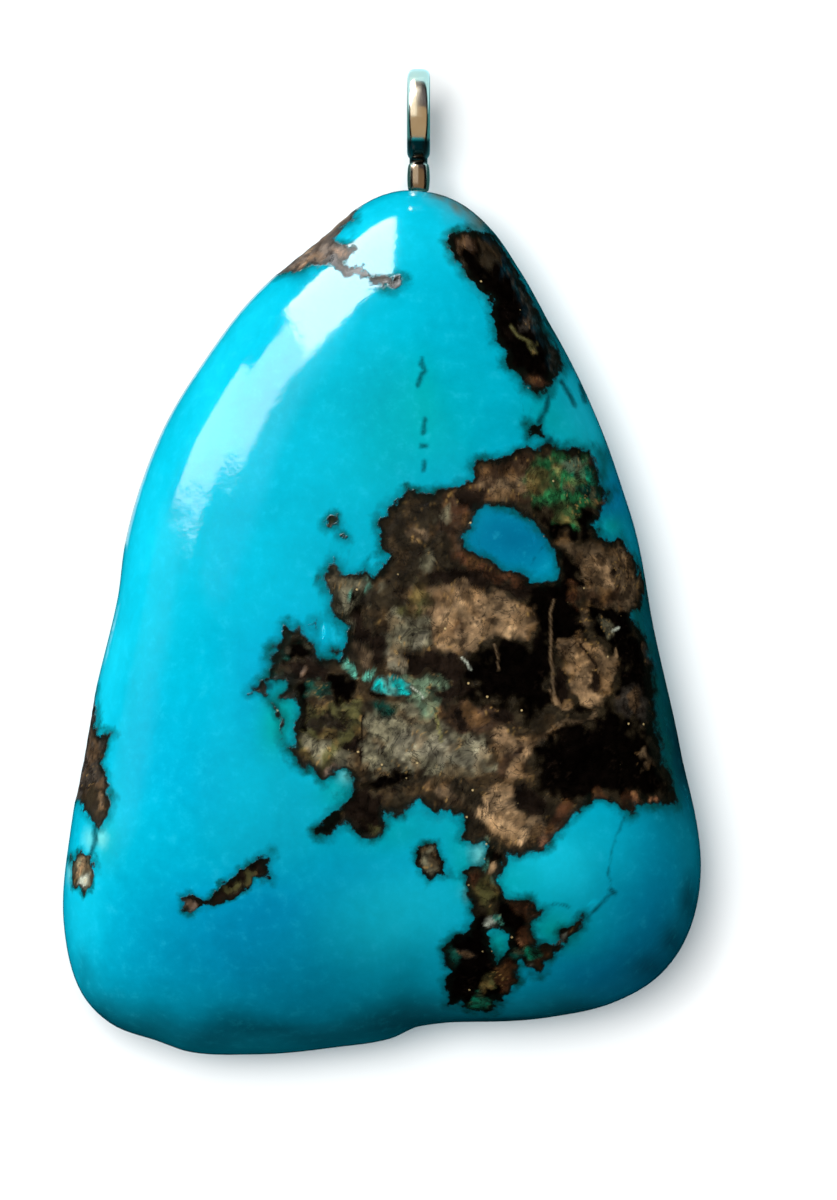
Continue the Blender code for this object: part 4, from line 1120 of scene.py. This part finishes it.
def turquoise_colour(tree, noises, stored, iron, shift):
    """The blue, with the painted shade and painted light of its stored colour: clouds 3 mm across, mottling
    and chalky spots from 0.5 mm down, iron stain and dark seams.
    """
    cloudy = add_node(tree, "ShaderNodeMapRange", None, {
        "Value": noises["cloud"], "From Min": 0.3, "From Max": 0.7, "To Min": 0.92, "To Max": 1.07,
    }).outputs[0]
    mottled = add_node(tree, "ShaderNodeMapRange", UNCLAMPED, {
        "Value": noises["speck"], "From Min": 0.3, "From Max": 0.7, "To Min": 0.94, "To Max": 1.06,
    }).outputs[0]
    lightness = add_node(tree, "ShaderNodeMath", TIMES, {0: cloudy, 1: mottled}).outputs[0]
    blue = {0: stored["body_colour_and_painted_shading"]["Color"], "Scale": lightness}
    clouded = add_node(tree, "ShaderNodeVectorMath", SCALE, blue).outputs[0]
    chalk = add_node(tree, "ShaderNodeMapRange", SMOOTH, {
        "Value": noises["speck"], "From Min": 0.52, "From Max": 0.78, "To Max": 0.26,
    }).outputs[0]
    chalky = add_node(tree, "ShaderNodeMix", OF_COLOURS, {0: chalk, 6: clouded, 7: "#2CC6E0"}).outputs[2]

    # The stain that iron leaves in the turquoise beside the host rock, up to 0.4 mm wide
    strength = add_node(tree, "ShaderNodeMapRange", None, {
        "Value": noises["soak"], "From Min": 0.35, "From Max": 0.65, "To Min": 0.35, "To Max": 0.95,
    }).outputs[0]
    stain = add_node(tree, "ShaderNodeMath", TIMES, {0: iron, 1: strength}).outputs[0]
    stained = add_node(tree, "ShaderNodeMix", OF_COLOURS, {0: stain, 6: chalky, 7: "#04504E"}).outputs[2]

    # The dark seams, which end raggedly too
    drawn = {0: shift, 1: 0.4, 2: stored["crack_depth"]["Fac"]}
    split = add_node(tree, "ShaderNodeMath", TIMES_PLUS, drawn).outputs[0]
    seam = add_node(tree, "ShaderNodeMapRange", SMOOTH, {
        "Value": split, "From Min": -0.17, "From Max": 0.05, "To Max": 0.85,
    }).outputs[0]
    return add_node(tree, "ShaderNodeMix", OF_COLOURS, {0: seam, 6: stained, 7: "#04363C"}).outputs[2]


def rock_colour(tree, noises, stored, skin, spot):
    """The host rock: grains of 0.3 mm and finer, crossed by dark threads, with a near black edge."""
    grained = add_node(tree, "ShaderNodeMapRange", None, {
        "Value": noises["grain"], "From Min": 0.3, "From Max": 0.7, "To Min": 0.63, "To Max": 1.37,
    }).outputs[0]
    crystal = add_node(tree, "ShaderNodeTexVoronoi", None, {"Vector": spot, "Scale": 1 / CRYSTAL_MM})
    facet = add_node(tree, "ShaderNodeSeparateColor", None, {"Color": crystal.outputs["Color"]}).outputs[0]
    faceted = add_node(tree, "ShaderNodeMapRange", None, {"Value": facet, "To Min": 0.82, "To Max": 1.18})
    uneven = add_node(tree, "ShaderNodeMath", TIMES, {0: grained, 1: faceted.outputs[0]}).outputs[0]
    on_thread = {0: noises["wander"], 1: 0.5, 2: 0.012}
    thread = add_node(tree, "ShaderNodeMath", {"operation": "COMPARE"}, on_thread).outputs[0]
    threaded = add_node(tree, "ShaderNodeMapRange", None, {"Value": thread, "To Min": 1.0, "To Max": 0.45})
    worn = add_node(tree, "ShaderNodeMath", TIMES, {0: uneven, 1: threaded.outputs[0]}).outputs[0]
    painted = {0: stored["host_colour"]["Color"], "Scale": worn}
    bare = add_node(tree, "ShaderNodeVectorMath", SCALE, painted).outputs[0]
    skinned = add_node(tree, "ShaderNodeMix", OF_COLOURS, {0: skin, 6: bare, 7: "#0C120D"}).outputs[2]

    # Flecks of pyrite, 0.1 mm
    cell = add_node(tree, "ShaderNodeTexVoronoi", None, {"Vector": spot, "Scale": 1 / PYRITE_CELL_MM}).outputs
    fleck = add_node(tree, "ShaderNodeMapRange", SMOOTH, {
        "Value": cell["Distance"], "From Min": 0.12, "From Max": 0.04,
    }).outputs[0]
    chance = add_node(tree, "ShaderNodeSeparateColor", None, {"Color": cell["Color"]}).outputs[1]
    picked = {0: chance, 1: 1 - PYRITE_CHANCE}
    chosen = add_node(tree, "ShaderNodeMath", {"operation": "GREATER_THAN"}, picked).outputs[0]
    pyrite = add_node(tree, "ShaderNodeMath", TIMES, {0: fleck, 1: chosen}).outputs[0]
    return add_node(tree, "ShaderNodeMix", OF_COLOURS, {0: pyrite, 6: skinned, 7: "#C9B07A"}).outputs[2]


def turquoise_material():
    """Tumbled turquoise in its host rock: a waxy, opaque, polished blue, crossed by duller, grainy brown."""
    made, tree, shader = new_material("tumbled turquoise in limonite host rock")
    place = add_node(tree, "ShaderNodeTexCoord").outputs["Object"]
    spot = add_node(tree, "ShaderNodeVectorMath", SCALE, {0: place, "Scale": 1 / MM}).outputs[0]
    noises = {}
    for name, (size, detail, roughness, distortion) in STONE_NOISES_MM.items():
        inputs = {"Vector": spot, "Scale": 1 / size, "Detail": detail, "Roughness": roughness}
        inputs["Distortion"] = distortion
        noises[name] = add_node(tree, "ShaderNodeTexNoise", None, inputs).outputs["Fac"]
    stored = {}
    for name in STORED:
        stored[name] = add_node(tree, "ShaderNodeAttribute", {"attribute_name": name}).outputs

    bands, shift = host_bands(tree, noises["ragged"], stored)
    blue = turquoise_colour(tree, noises, stored, bands["iron"], shift)
    brown = rock_colour(tree, noises, stored, bands["skin"], spot)
    cover = bands["rock"]
    colour = add_node(tree, "ShaderNodeMix", OF_COLOURS, {0: cover, 6: blue, 7: brown}).outputs[2]
    polish = {0: cover, 2: STONE_POLISH, 3: stored["host_colour"]["Alpha"]}
    gloss = add_node(tree, "ShaderNodeMix", {"data_type": "FLOAT"}, polish).outputs[0]

    # The host rock is pitted between its grains, and the whole polish ripples a little
    pitted = add_node(tree, "ShaderNodeMath", TIMES, {0: noises["grain"], 1: cover}).outputs[0]
    raised = {0: pitted, 1: 3.0, 2: noises["ripple"]}
    height = add_node(tree, "ShaderNodeMath", TIMES_PLUS, raised).outputs[0]
    bump = add_node(tree, "ShaderNodeBump", None, {
        "Height": height, "Distance": STONE_BUMP_MM * MM, "Strength": 1.0,
    }).outputs["Normal"]
    feed(tree, shader, {"Base Color": colour, "Roughness": gloss, "Normal": bump, "IOR": STONE_IOR})
    return made


# Where tarnish and painted shade start and are full at each end of the neck, and where the bead turns brown
# with tarnish and a painted reflection, along y
TARNISH_AND_SHADE_TOP_MM = (17.66, 17.40)
TARNISH_AND_SHADE_FOOT_MM = (16.5, 16.62)
BROWNED_AND_REFLECTION_MM = (16.62, 16.4)
SCUFF_MM = 0.15
SCUFF_BUMP_MM = 0.0006


def silver_material():
    """Squared, polished sterling silver wire: a warm mirror, black in its neck with tarnish and painted
    shade, and brown below with tarnish and a painted reflection.
    """
    made, tree, shader = new_material("polished sterling silver")
    place = add_node(tree, "ShaderNodeTexCoord").outputs["Object"]
    spot = add_node(tree, "ShaderNodeVectorMath", SCALE, {0: place, "Scale": 1 / MM}).outputs[0]
    bloom = add_node(tree, "ShaderNodeTexNoise", None, {
        "Vector": spot, "Scale": 1 / 0.8, "Detail": 3.0,
    }).outputs["Fac"]
    silver = add_node(tree, "ShaderNodeMix", OF_COLOURS, {0: bloom, 6: "#EFE7DA", 7: "#D3C2A8"}).outputs[2]

    # Tarnish gathers in the 0.8 mm between the ring and the bead, where polishing doesn't reach, and its near
    # black is also painted shade for the dark that the neck mirrors there; the bead's brown is tarnish and a
    # painted reflection of brown surroundings
    along = add_node(tree, "ShaderNodeSeparateXYZ", None, {"Vector": spot}).outputs["Y"]
    shares = []
    for (start, end), most in ((TARNISH_AND_SHADE_TOP_MM, 1.0), (TARNISH_AND_SHADE_FOOT_MM, 1.0), (BROWNED_AND_REFLECTION_MM, 0.68)):
        inputs = {"Value": along, "From Min": start, "From Max": end, "To Max": most}
        shares.append(add_node(tree, "ShaderNodeMapRange", SMOOTH, inputs).outputs[0])
    band = add_node(tree, "ShaderNodeMath", TIMES, {0: shares[0], 1: shares[1]}).outputs[0]
    cover = add_node(tree, "ShaderNodeMath", TIMES, {0: band, 1: 0.97}).outputs[0]
    black = add_node(tree, "ShaderNodeMix", OF_COLOURS, {0: cover, 6: silver, 7: "#070F12"}).outputs[2]
    browned_and_reflection = add_node(tree, "ShaderNodeMix", OF_COLOURS, {0: shares[2], 6: black, 7: "#6A4C36"}).outputs[2]

    # Fine scuffs of wear
    scuff = add_node(tree, "ShaderNodeTexNoise", None, {
        "Vector": spot, "Scale": 1 / SCUFF_MM, "Detail": 2.0,
    }).outputs["Fac"]
    gloss = add_node(tree, "ShaderNodeMapRange", None, {
        "Value": scuff, "To Min": 0.15, "To Max": 0.23,
    }).outputs[0]
    bump = add_node(tree, "ShaderNodeBump", None, {
        "Height": scuff, "Distance": SCUFF_BUMP_MM * MM, "Strength": 1.0,
    }).outputs["Normal"]
    feed(tree, shader, {"Base Color": browned_and_reflection, "Roughness": gloss, "Normal": bump, "Metallic": 1.0})
    return made


def cement_material():
    """Clear jeweller's epoxy, set over the stone: glassy and a little milky."""
    made, tree, shader = new_material("set epoxy cement")
    place = add_node(tree, "ShaderNodeTexCoord").outputs["Object"]
    spot = add_node(tree, "ShaderNodeVectorMath", SCALE, {0: place, "Scale": 1 / MM}).outputs[0]
    milk = add_node(tree, "ShaderNodeTexNoise", None, {
        "Vector": spot, "Scale": 1 / 0.3, "Detail": 2.0,
    }).outputs["Fac"]
    colour = add_node(tree, "ShaderNodeMix", OF_COLOURS, {0: milk, 6: "#2FB6C4", 7: "#7FD3D6"}).outputs[2]
    feed(tree, shader, {"Base Color": colour, "Roughness": 0.12})
    return made


def add_piece(name, mesh, material, groups=("pendant",)):
    """A finished piece in the scene, in the groups of pieces that lamps are flagged for."""
    mesh.materials.append(material)
    piece = bpy.data.objects.new(name, mesh)
    bpy.context.scene.collection.objects.link(piece)
    for group in groups:
        flagged(group).objects.link(piece)
    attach(piece, "root")
    return piece


MERGE_DISTANCE = 1e-8
TURNED_STEPS = 48


def spun(bm, section, axis, steps, place, name):
    """The closed mesh of a section spun right round an axis through the origin, then set in its place."""
    bmesh.ops.spin(bm, geom=section, cent=(0, 0, 0), axis=axis, angle=math.tau, steps=steps, use_merge=True)
    bmesh.ops.remove_doubles(bm, verts=bm.verts[:], dist=MERGE_DISTANCE)
    bmesh.ops.recalc_face_normals(bm, faces=bm.faces[:])
    bmesh.ops.transform(bm, matrix=Matrix.Translation(place), verts=bm.verts[:])
    return mesh_from(bm, name)


def turned(profile, place, name):
    """A closed form turned about +Y from a profile of radius and height, in metres."""
    bm = bmesh.new()
    verts = [bm.verts.new((radius, height, 0.0)) for radius, height in profile]
    edges = [bm.edges.new(pair) for pair in zip(verts, verts[1:])]
    return spun(bm, verts + edges, (0, 1, 0), TURNED_STEPS, place, name)


WIRE_SQUARENESS = 3.2
WIRE_SEGMENTS = 48
RING_STEPS = 128


def squared(point):
    """A point of round wire once rolling has squared the wire, with its width kept."""
    flat = (abs(point.x) ** WIRE_SQUARENESS + abs(point.y) ** WIRE_SQUARENESS) ** (1 / WIRE_SQUARENESS)
    return point * (point.length / flat)


def ring_mesh(form, place):
    """The ring: squared wire spun about the axis of the eye's hole."""
    bm = bmesh.new()
    section = bmesh.ops.create_circle(bm, segments=WIRE_SEGMENTS, radius=form.wire / 2)["verts"]
    for vert in section:
        vert.co = squared(vert.co) + Vector((0.0, (form.ring - form.wire) / 2, 0.0))
    edges = list({e for v in section for e in v.link_edges})
    return spun(bm, section + edges, (1, 0, 0), RING_STEPS, place, "ring")


BEAD_STEPS = 24
BEAD_ROUNDNESS = 0.8
PEG_START = 0.02 * MM


def neck_profile(form, ring_centre):
    """Radius and height from inside the ring's wire, down the neck, round the bead and along the peg."""
    inside = ring_centre - form.ring / 2 + form.wire / 2
    points = [(0.0, inside), (form.neck, inside)]
    middle = (form.collar_top + form.collar_foot) / 2
    half = (form.collar_top - form.collar_foot) / 2
    for i in range(BEAD_STEPS + 1):
        turn = math.pi * i / BEAD_STEPS
        radius = form.neck + (form.collar - form.neck) * abs(math.sin(turn)) ** BEAD_ROUNDNESS
        points.append((radius, middle + half * math.cos(turn)))
    foot = form.collar_foot - form.peg_depth
    return points + [(form.peg, form.collar_foot - PEG_START), (form.peg, foot), (0.0, foot)]


# The cement in the mouth of the hole: how deep it goes, how far under the bead it ends and how high it domes
CEMENT_FOOT = 0.9 * MM
CEMENT_CROWN = 0.04 * MM
CEMENT_DOME = 0.28 * MM
CEMENT_STEPS = 8
PEG_CLEARANCE = 0.01 * MM


def cement_profile(form):
    """Radius and height round the section of the cement, from its inner edge at the foot."""
    inner, outer = form.peg + PEG_CLEARANCE, HOLE_RADIUS_MM * MM
    foot = form.collar_foot - CEMENT_FOOT
    crown = form.collar_foot - CEMENT_CROWN
    profile = [(inner, foot), (outer, foot), (outer, crown - CEMENT_DOME)]
    for i in range(1, CEMENT_STEPS + 1):
        turn = math.pi / 2 * i / CEMENT_STEPS
        radius = inner + (outer - inner) * math.cos(turn)
        profile.append((radius, crown - CEMENT_DOME * (1 - math.sin(turn))))
    return profile + [(inner, foot)]


def united(first, second):
    """One mesh from two overlapping closed ones."""
    body = bpy.data.objects.new("united", first)
    tool = bpy.data.objects.new("tool", second)
    for part in (body, tool):
        bpy.context.scene.collection.objects.link(part)
    joining = body.modifiers.new("soldered", "BOOLEAN")
    joining.operation = "UNION"
    joining.solver = "EXACT"
    joining.object = tool
    bpy.context.view_layer.update()
    mesh = bpy.data.meshes.new_from_object(body.evaluated_get(bpy.context.evaluated_depsgraph_get()))
    for part in (body, tool):
        bpy.data.objects.remove(part)
    return mesh


class NUGGET_OT_stone(bpy.types.Operator):
    """Builds the polished stone in place of its plain solid"""

    bl_idname = "nugget.stone"
    bl_label = "Stone"

    def execute(self, context):
        mesh = stone_mesh(context.scene.nugget_form, context.scene.nugget_colours)
        piece = add_piece("polished_nugget", mesh, turquoise_material())
        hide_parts(STONE_NODE)
        return {"FINISHED"}


class NUGGET_OT_eye(bpy.types.Operator):
    """Builds the silver hanging eye in place of its plain solid"""

    bl_idname = "nugget.eye"
    bl_label = "Hanging eye"

    def execute(self, context):
        form = context.scene.nugget_eye
        ring_centre = EYE_BOX[1].y - form.ring / 2
        neck = turned(neck_profile(form, ring_centre), (EYE_X, 0.0, EYE_HEIGHT), "neck")
        ring = ring_mesh(form, (EYE_X, ring_centre, EYE_HEIGHT))
        mesh = united(ring, neck)
        mesh.name = "silver_eye"
        mesh.shade_smooth()
        piece = add_piece("silver_eye", mesh, silver_material(), ("pendant", "eye"))
        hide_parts(EYE_NODE)
        return {"FINISHED"}


class NUGGET_OT_cement(bpy.types.Operator):
    """Builds the cement that fills the hole round the eye's peg"""

    bl_idname = "nugget.cement"
    bl_label = "Cement"

    def execute(self, context):
        profile = cement_profile(context.scene.nugget_eye)
        mesh = turned(profile, (EYE_X, 0.0, EYE_HEIGHT), "cement")
        mesh.shade_smooth()
        add_piece("cement", mesh, cement_material())
        return {"FINISHED"}


def flagged(name):
    """The group of pieces that a lamp is flagged off everything else for."""
    return bpy.data.collections.get(name) or bpy.data.collections.new(name)


def lamp(name, place, away, size, energy, colour, group, seen):
    """A flat lamp that shines back along `away`, on one group of pieces, as shading or in their polish."""
    data = bpy.data.lights.new(name, "AREA")
    data.shape = "RECTANGLE"
    data.size, data.size_y = size
    data.energy = energy
    data.color = linear(colour)
    made = bpy.data.objects.new(name, data)
    made.location = place
    made.rotation_euler = away.to_track_quat("Z", "Y").to_euler()
    made.visible_camera = False
    made.visible_glossy = seen == "in the polish"
    made.visible_diffuse = seen == "as shading"
    made.light_linking.receiver_collection = flagged(group)
    if seen == "as shading":
        made.light_linking.blocker_collection = flagged("pendant")
    bpy.context.scene.collection.objects.link(made)


def direction(tilt, azimuth):
    """Unit vector this far from straight up, at this azimuth from +X."""
    t, a = math.radians(tilt), math.radians(azimuth)
    return Vector((math.sin(t) * math.cos(a), math.sin(t) * math.sin(a), math.cos(t)))


STONE_MIDDLE = Vector((0.0, -2.0, 8.0)) * MM
WHITE = "#FFFFFF"

# The soft lamps by name in the settings: tilt, azimuth, distance and size in metres, and what they light
SHADING_LAMPS = (
    ("window", 57, 140, 0.6, 0.30, "pendant"),
    ("overhead", 15, 140, 0.6, 0.50, "pendant"),
    ("left", 86, 165, 0.6, 0.30, "pendant"),
    ("right", 80, 60, 0.6, 0.30, "pendant"),
    ("table", 8, 140, 1.5, 0.6, "table"),
)
BOUNCE_SIZE = 0.6
BOUNCE_DROP = Vector((0.0, 0.0, 60.0)) * MM


def light_softly(look):
    """The soft lamps: each gives a white surface that faces it the lightness in its setting."""
    for name, tilt, azimuth, distance, size, group in SHADING_LAMPS:
        away = direction(tilt, azimuth)
        energy = getattr(look, name) * math.pi**2 * distance**2
        place = STONE_MIDDLE + away * distance
        lamp(name + " light", place, away, (size, size), energy, WHITE, group, "as shading")


def bounce_off_table(brightness):
    """Light from the table as a whole, which reaches the rims of the stone and little else."""
    energy = brightness * math.pi * BOUNCE_SIZE**2
    size = (BOUNCE_SIZE, BOUNCE_SIZE)
    place = STONE_MIDDLE - BOUNCE_DROP
    lamp("table bounce", place, direction(180, 0), size, energy, WHITE, "pendant", "as shading")


def card(name, place, away, size, brightness, colour, group):
    """A bright panel that shows only in the polish."""
    energy = brightness * math.pi * size[0] * size[1]
    lamp(name, place, away, size, energy, colour, group, "in the polish")


# The window is upper left: its direction and distance, and the span and the heights of each of its panes
WINDOW_AZIMUTH = 126
WINDOW_DISTANCE = 250 * MM
UPPER_PANE = ((-130 * MM, 22 * MM), (-15 * MM, 202 * MM))
LOWER_PANES = (
    ((24 * MM, 84 * MM), (55 * MM, 205 * MM)),
    ((84 * MM, 146 * MM), (-4 * MM, 202 * MM)),
    ((146 * MM, 165 * MM), (6 * MM, 140 * MM)),
)
TABLE_PAST_THE_STONE = ((-40 * MM, 235 * MM), (-3000 * MM, -620 * MM))


def window_pane(name, pane, brightness):
    """A panel in the plane of the window."""
    (start, end), (foot, top) = pane
    facing = direction(90, WINDOW_AZIMUTH)
    along = direction(90, WINDOW_AZIMUTH + 90)
    place = facing * WINDOW_DISTANCE + along * (start + end) / 2 + Vector((0, 0, (foot + top) / 2))
    card(name, place, facing, (end - start, top - foot), brightness, WHITE, "pendant")


# What the silver mirrors: brightness, colour, and edges from the middle of the eye along x and y, in mm
CEILING_MM = 150
TABLE_LEVEL_MM = 0.5
OVER_THE_EYE_MM = {
    "window over the eye": (1.25, "#FFFCEC", (-260, -8), (-15, 420)),
    "grey ceiling": (0.13, "#F2F0FF", (-8, 260), (46, 420)),
    "tan wall": (0.48, "#FFE4B9", (-260, 260), (-430, -15)),
    "end of the tan wall": (0.48, "#FFE4B9", (-8, 260), (-15, 46)),
}
BESIDE_THE_EYE_MM = {
    "pale table": (1.38, "#B2ECFF", (-200, 200), (2.2, 400)),
    "blue on the left": (0.30, "#78F1FF", (-80, -0.6), (-30, 2)),
    "blue on the right": (0.30, "#78F1FF", (0.6, 80), (-30, 2)),
}


def light_eye(ring_centre):
    """Panels over the silver eye and level with the table, which show only in its polish."""
    up = Vector((0.0, 0.0, 1.0))
    for height, away, panels in ((CEILING_MM, up, OVER_THE_EYE_MM), (TABLE_LEVEL_MM, -up, BESIDE_THE_EYE_MM)):
        for name, (brightness, colour, (left, right), (near, far)) in panels.items():
            middle = Vector(((left + right) / 2, (near + far) / 2, height)) * MM
            size = ((right - left) * MM, (far - near) * MM)
            card(name, middle + Vector((EYE_X, ring_centre, 0.0)), away, size, brightness, colour, "eye")


TABLE_REACH = 3.0


def lay_table(colour):
    """A matt white table at the level that the pendant lies on, seen by the camera alone."""
    bm = bmesh.new()
    bmesh.ops.create_grid(bm, x_segments=1, y_segments=1, size=TABLE_REACH)
    mesh = mesh_from(bm, "table")
    made, tree, shader = new_material("matt white table")
    feed(tree, shader, {"Base Color": (*colour, 1.0), "Roughness": 0.9})
    mesh.materials.append(made)
    floor = bpy.data.objects.new("table", mesh)
    floor.visible_glossy = False
    floor.visible_diffuse = False
    bpy.context.scene.collection.objects.link(floor)
    flagged("table").objects.link(floor)


ROOM_COLOUR = "#F2F5F7"
SENSOR_WIDTH = 36

# The middle of the picture, at the height of the stone's widest outline
PICTURE_MIDDLE = Vector((1.5, -1.604, 5.25)) * MM


def light_room(strength):
    """Faint light from all round, which the polish doesn't mirror."""
    world = bpy.data.worlds.new("studio")
    world.use_nodes = True
    world.cycles_visibility.glossy = False
    background = world.node_tree.nodes["Background"]
    feed(world.node_tree, background, {"Color": ROOM_COLOUR, "Strength": strength})
    bpy.context.scene.world = world


def look_down(look):
    """The camera straight over the pendant."""
    lens = bpy.data.cameras.new("overhead")
    lens.sensor_width = SENSOR_WIDTH
    lens.lens = lens.sensor_width * look.camera_height / look.frame_height
    camera = bpy.data.objects.new("overhead", lens)
    camera.location = PICTURE_MIDDLE + Vector((0.0, 0.0, look.camera_height))
    bpy.context.scene.collection.objects.link(camera)
    bpy.context.scene.camera = camera


class NUGGET_OT_stage(bpy.types.Operator):
    """Lays the pale table and sets the soft light and the camera overhead"""

    bl_idname = "nugget.stage"
    bl_label = "Table, light and camera"

    def execute(self, context):
        look = context.scene.nugget_stage
        lay_table(look.floor)
        light_softly(look)
        bounce_off_table(look.bounce)
        window_pane("upper pane", UPPER_PANE, look.upper_pane)
        for pane in LOWER_PANES:
            window_pane("lower pane", pane, look.lower_pane)
        window_pane("table past the stone", TABLE_PAST_THE_STONE, look.table_glow)
        light_eye(EYE_BOX[1].y - context.scene.nugget_eye.ring / 2)
        light_room(look.room)
        context.scene.view_settings.view_transform = "Standard"
        look_down(look)
        return {"FINISHED"}


class NUGGET_PT_sidebar(bpy.types.Panel):
    """Lists the pendant's pieces in the sidebar"""

    bl_label = "Turquoise nugget"
    bl_idname = "NUGGET_PT_sidebar"
    bl_space_type = "VIEW_3D"
    bl_region_type = "UI"
    bl_category = "Nugget"

    def draw(self, context):
        for name, group, operators in SETTINGS:
            box = self.layout.box()
            settings = getattr(context.scene, name)
            for setting in group.__annotations__:
                box.prop(settings, setting)
            for operator in operators:
                box.operator(operator)


# The groups of settings, by their names in the scene, and the operators that read them
SETTINGS = (
    ("nugget_form", NuggetForm, ()),
    ("nugget_colours", NuggetColours, ("nugget.stone",)),
    ("nugget_eye", EyeForm, ("nugget.eye", "nugget.cement")),
    ("nugget_stage", StageLook, ("nugget.stage",)),
)
CLASSES = (
    NuggetForm, NuggetColours, EyeForm, StageLook, NUGGET_OT_stone, NUGGET_OT_eye, NUGGET_OT_cement,
    NUGGET_OT_stage, NUGGET_PT_sidebar,
)


def register():
    for each in CLASSES:
        bpy.utils.register_class(each)
    for name, group, _ in SETTINGS:
        setattr(bpy.types.Scene, name, bpy.props.PointerProperty(type=group))


def unregister():
    for name, _, _ in SETTINGS:
        delattr(bpy.types.Scene, name)
    for each in reversed(CLASSES):
        bpy.utils.unregister_class(each)


def main():
    register()
    bpy.ops.nugget.stone()
    bpy.ops.nugget.eye()
    bpy.ops.nugget.cement()
    bpy.ops.nugget.stage()


if __name__ == "__main__":
    main()
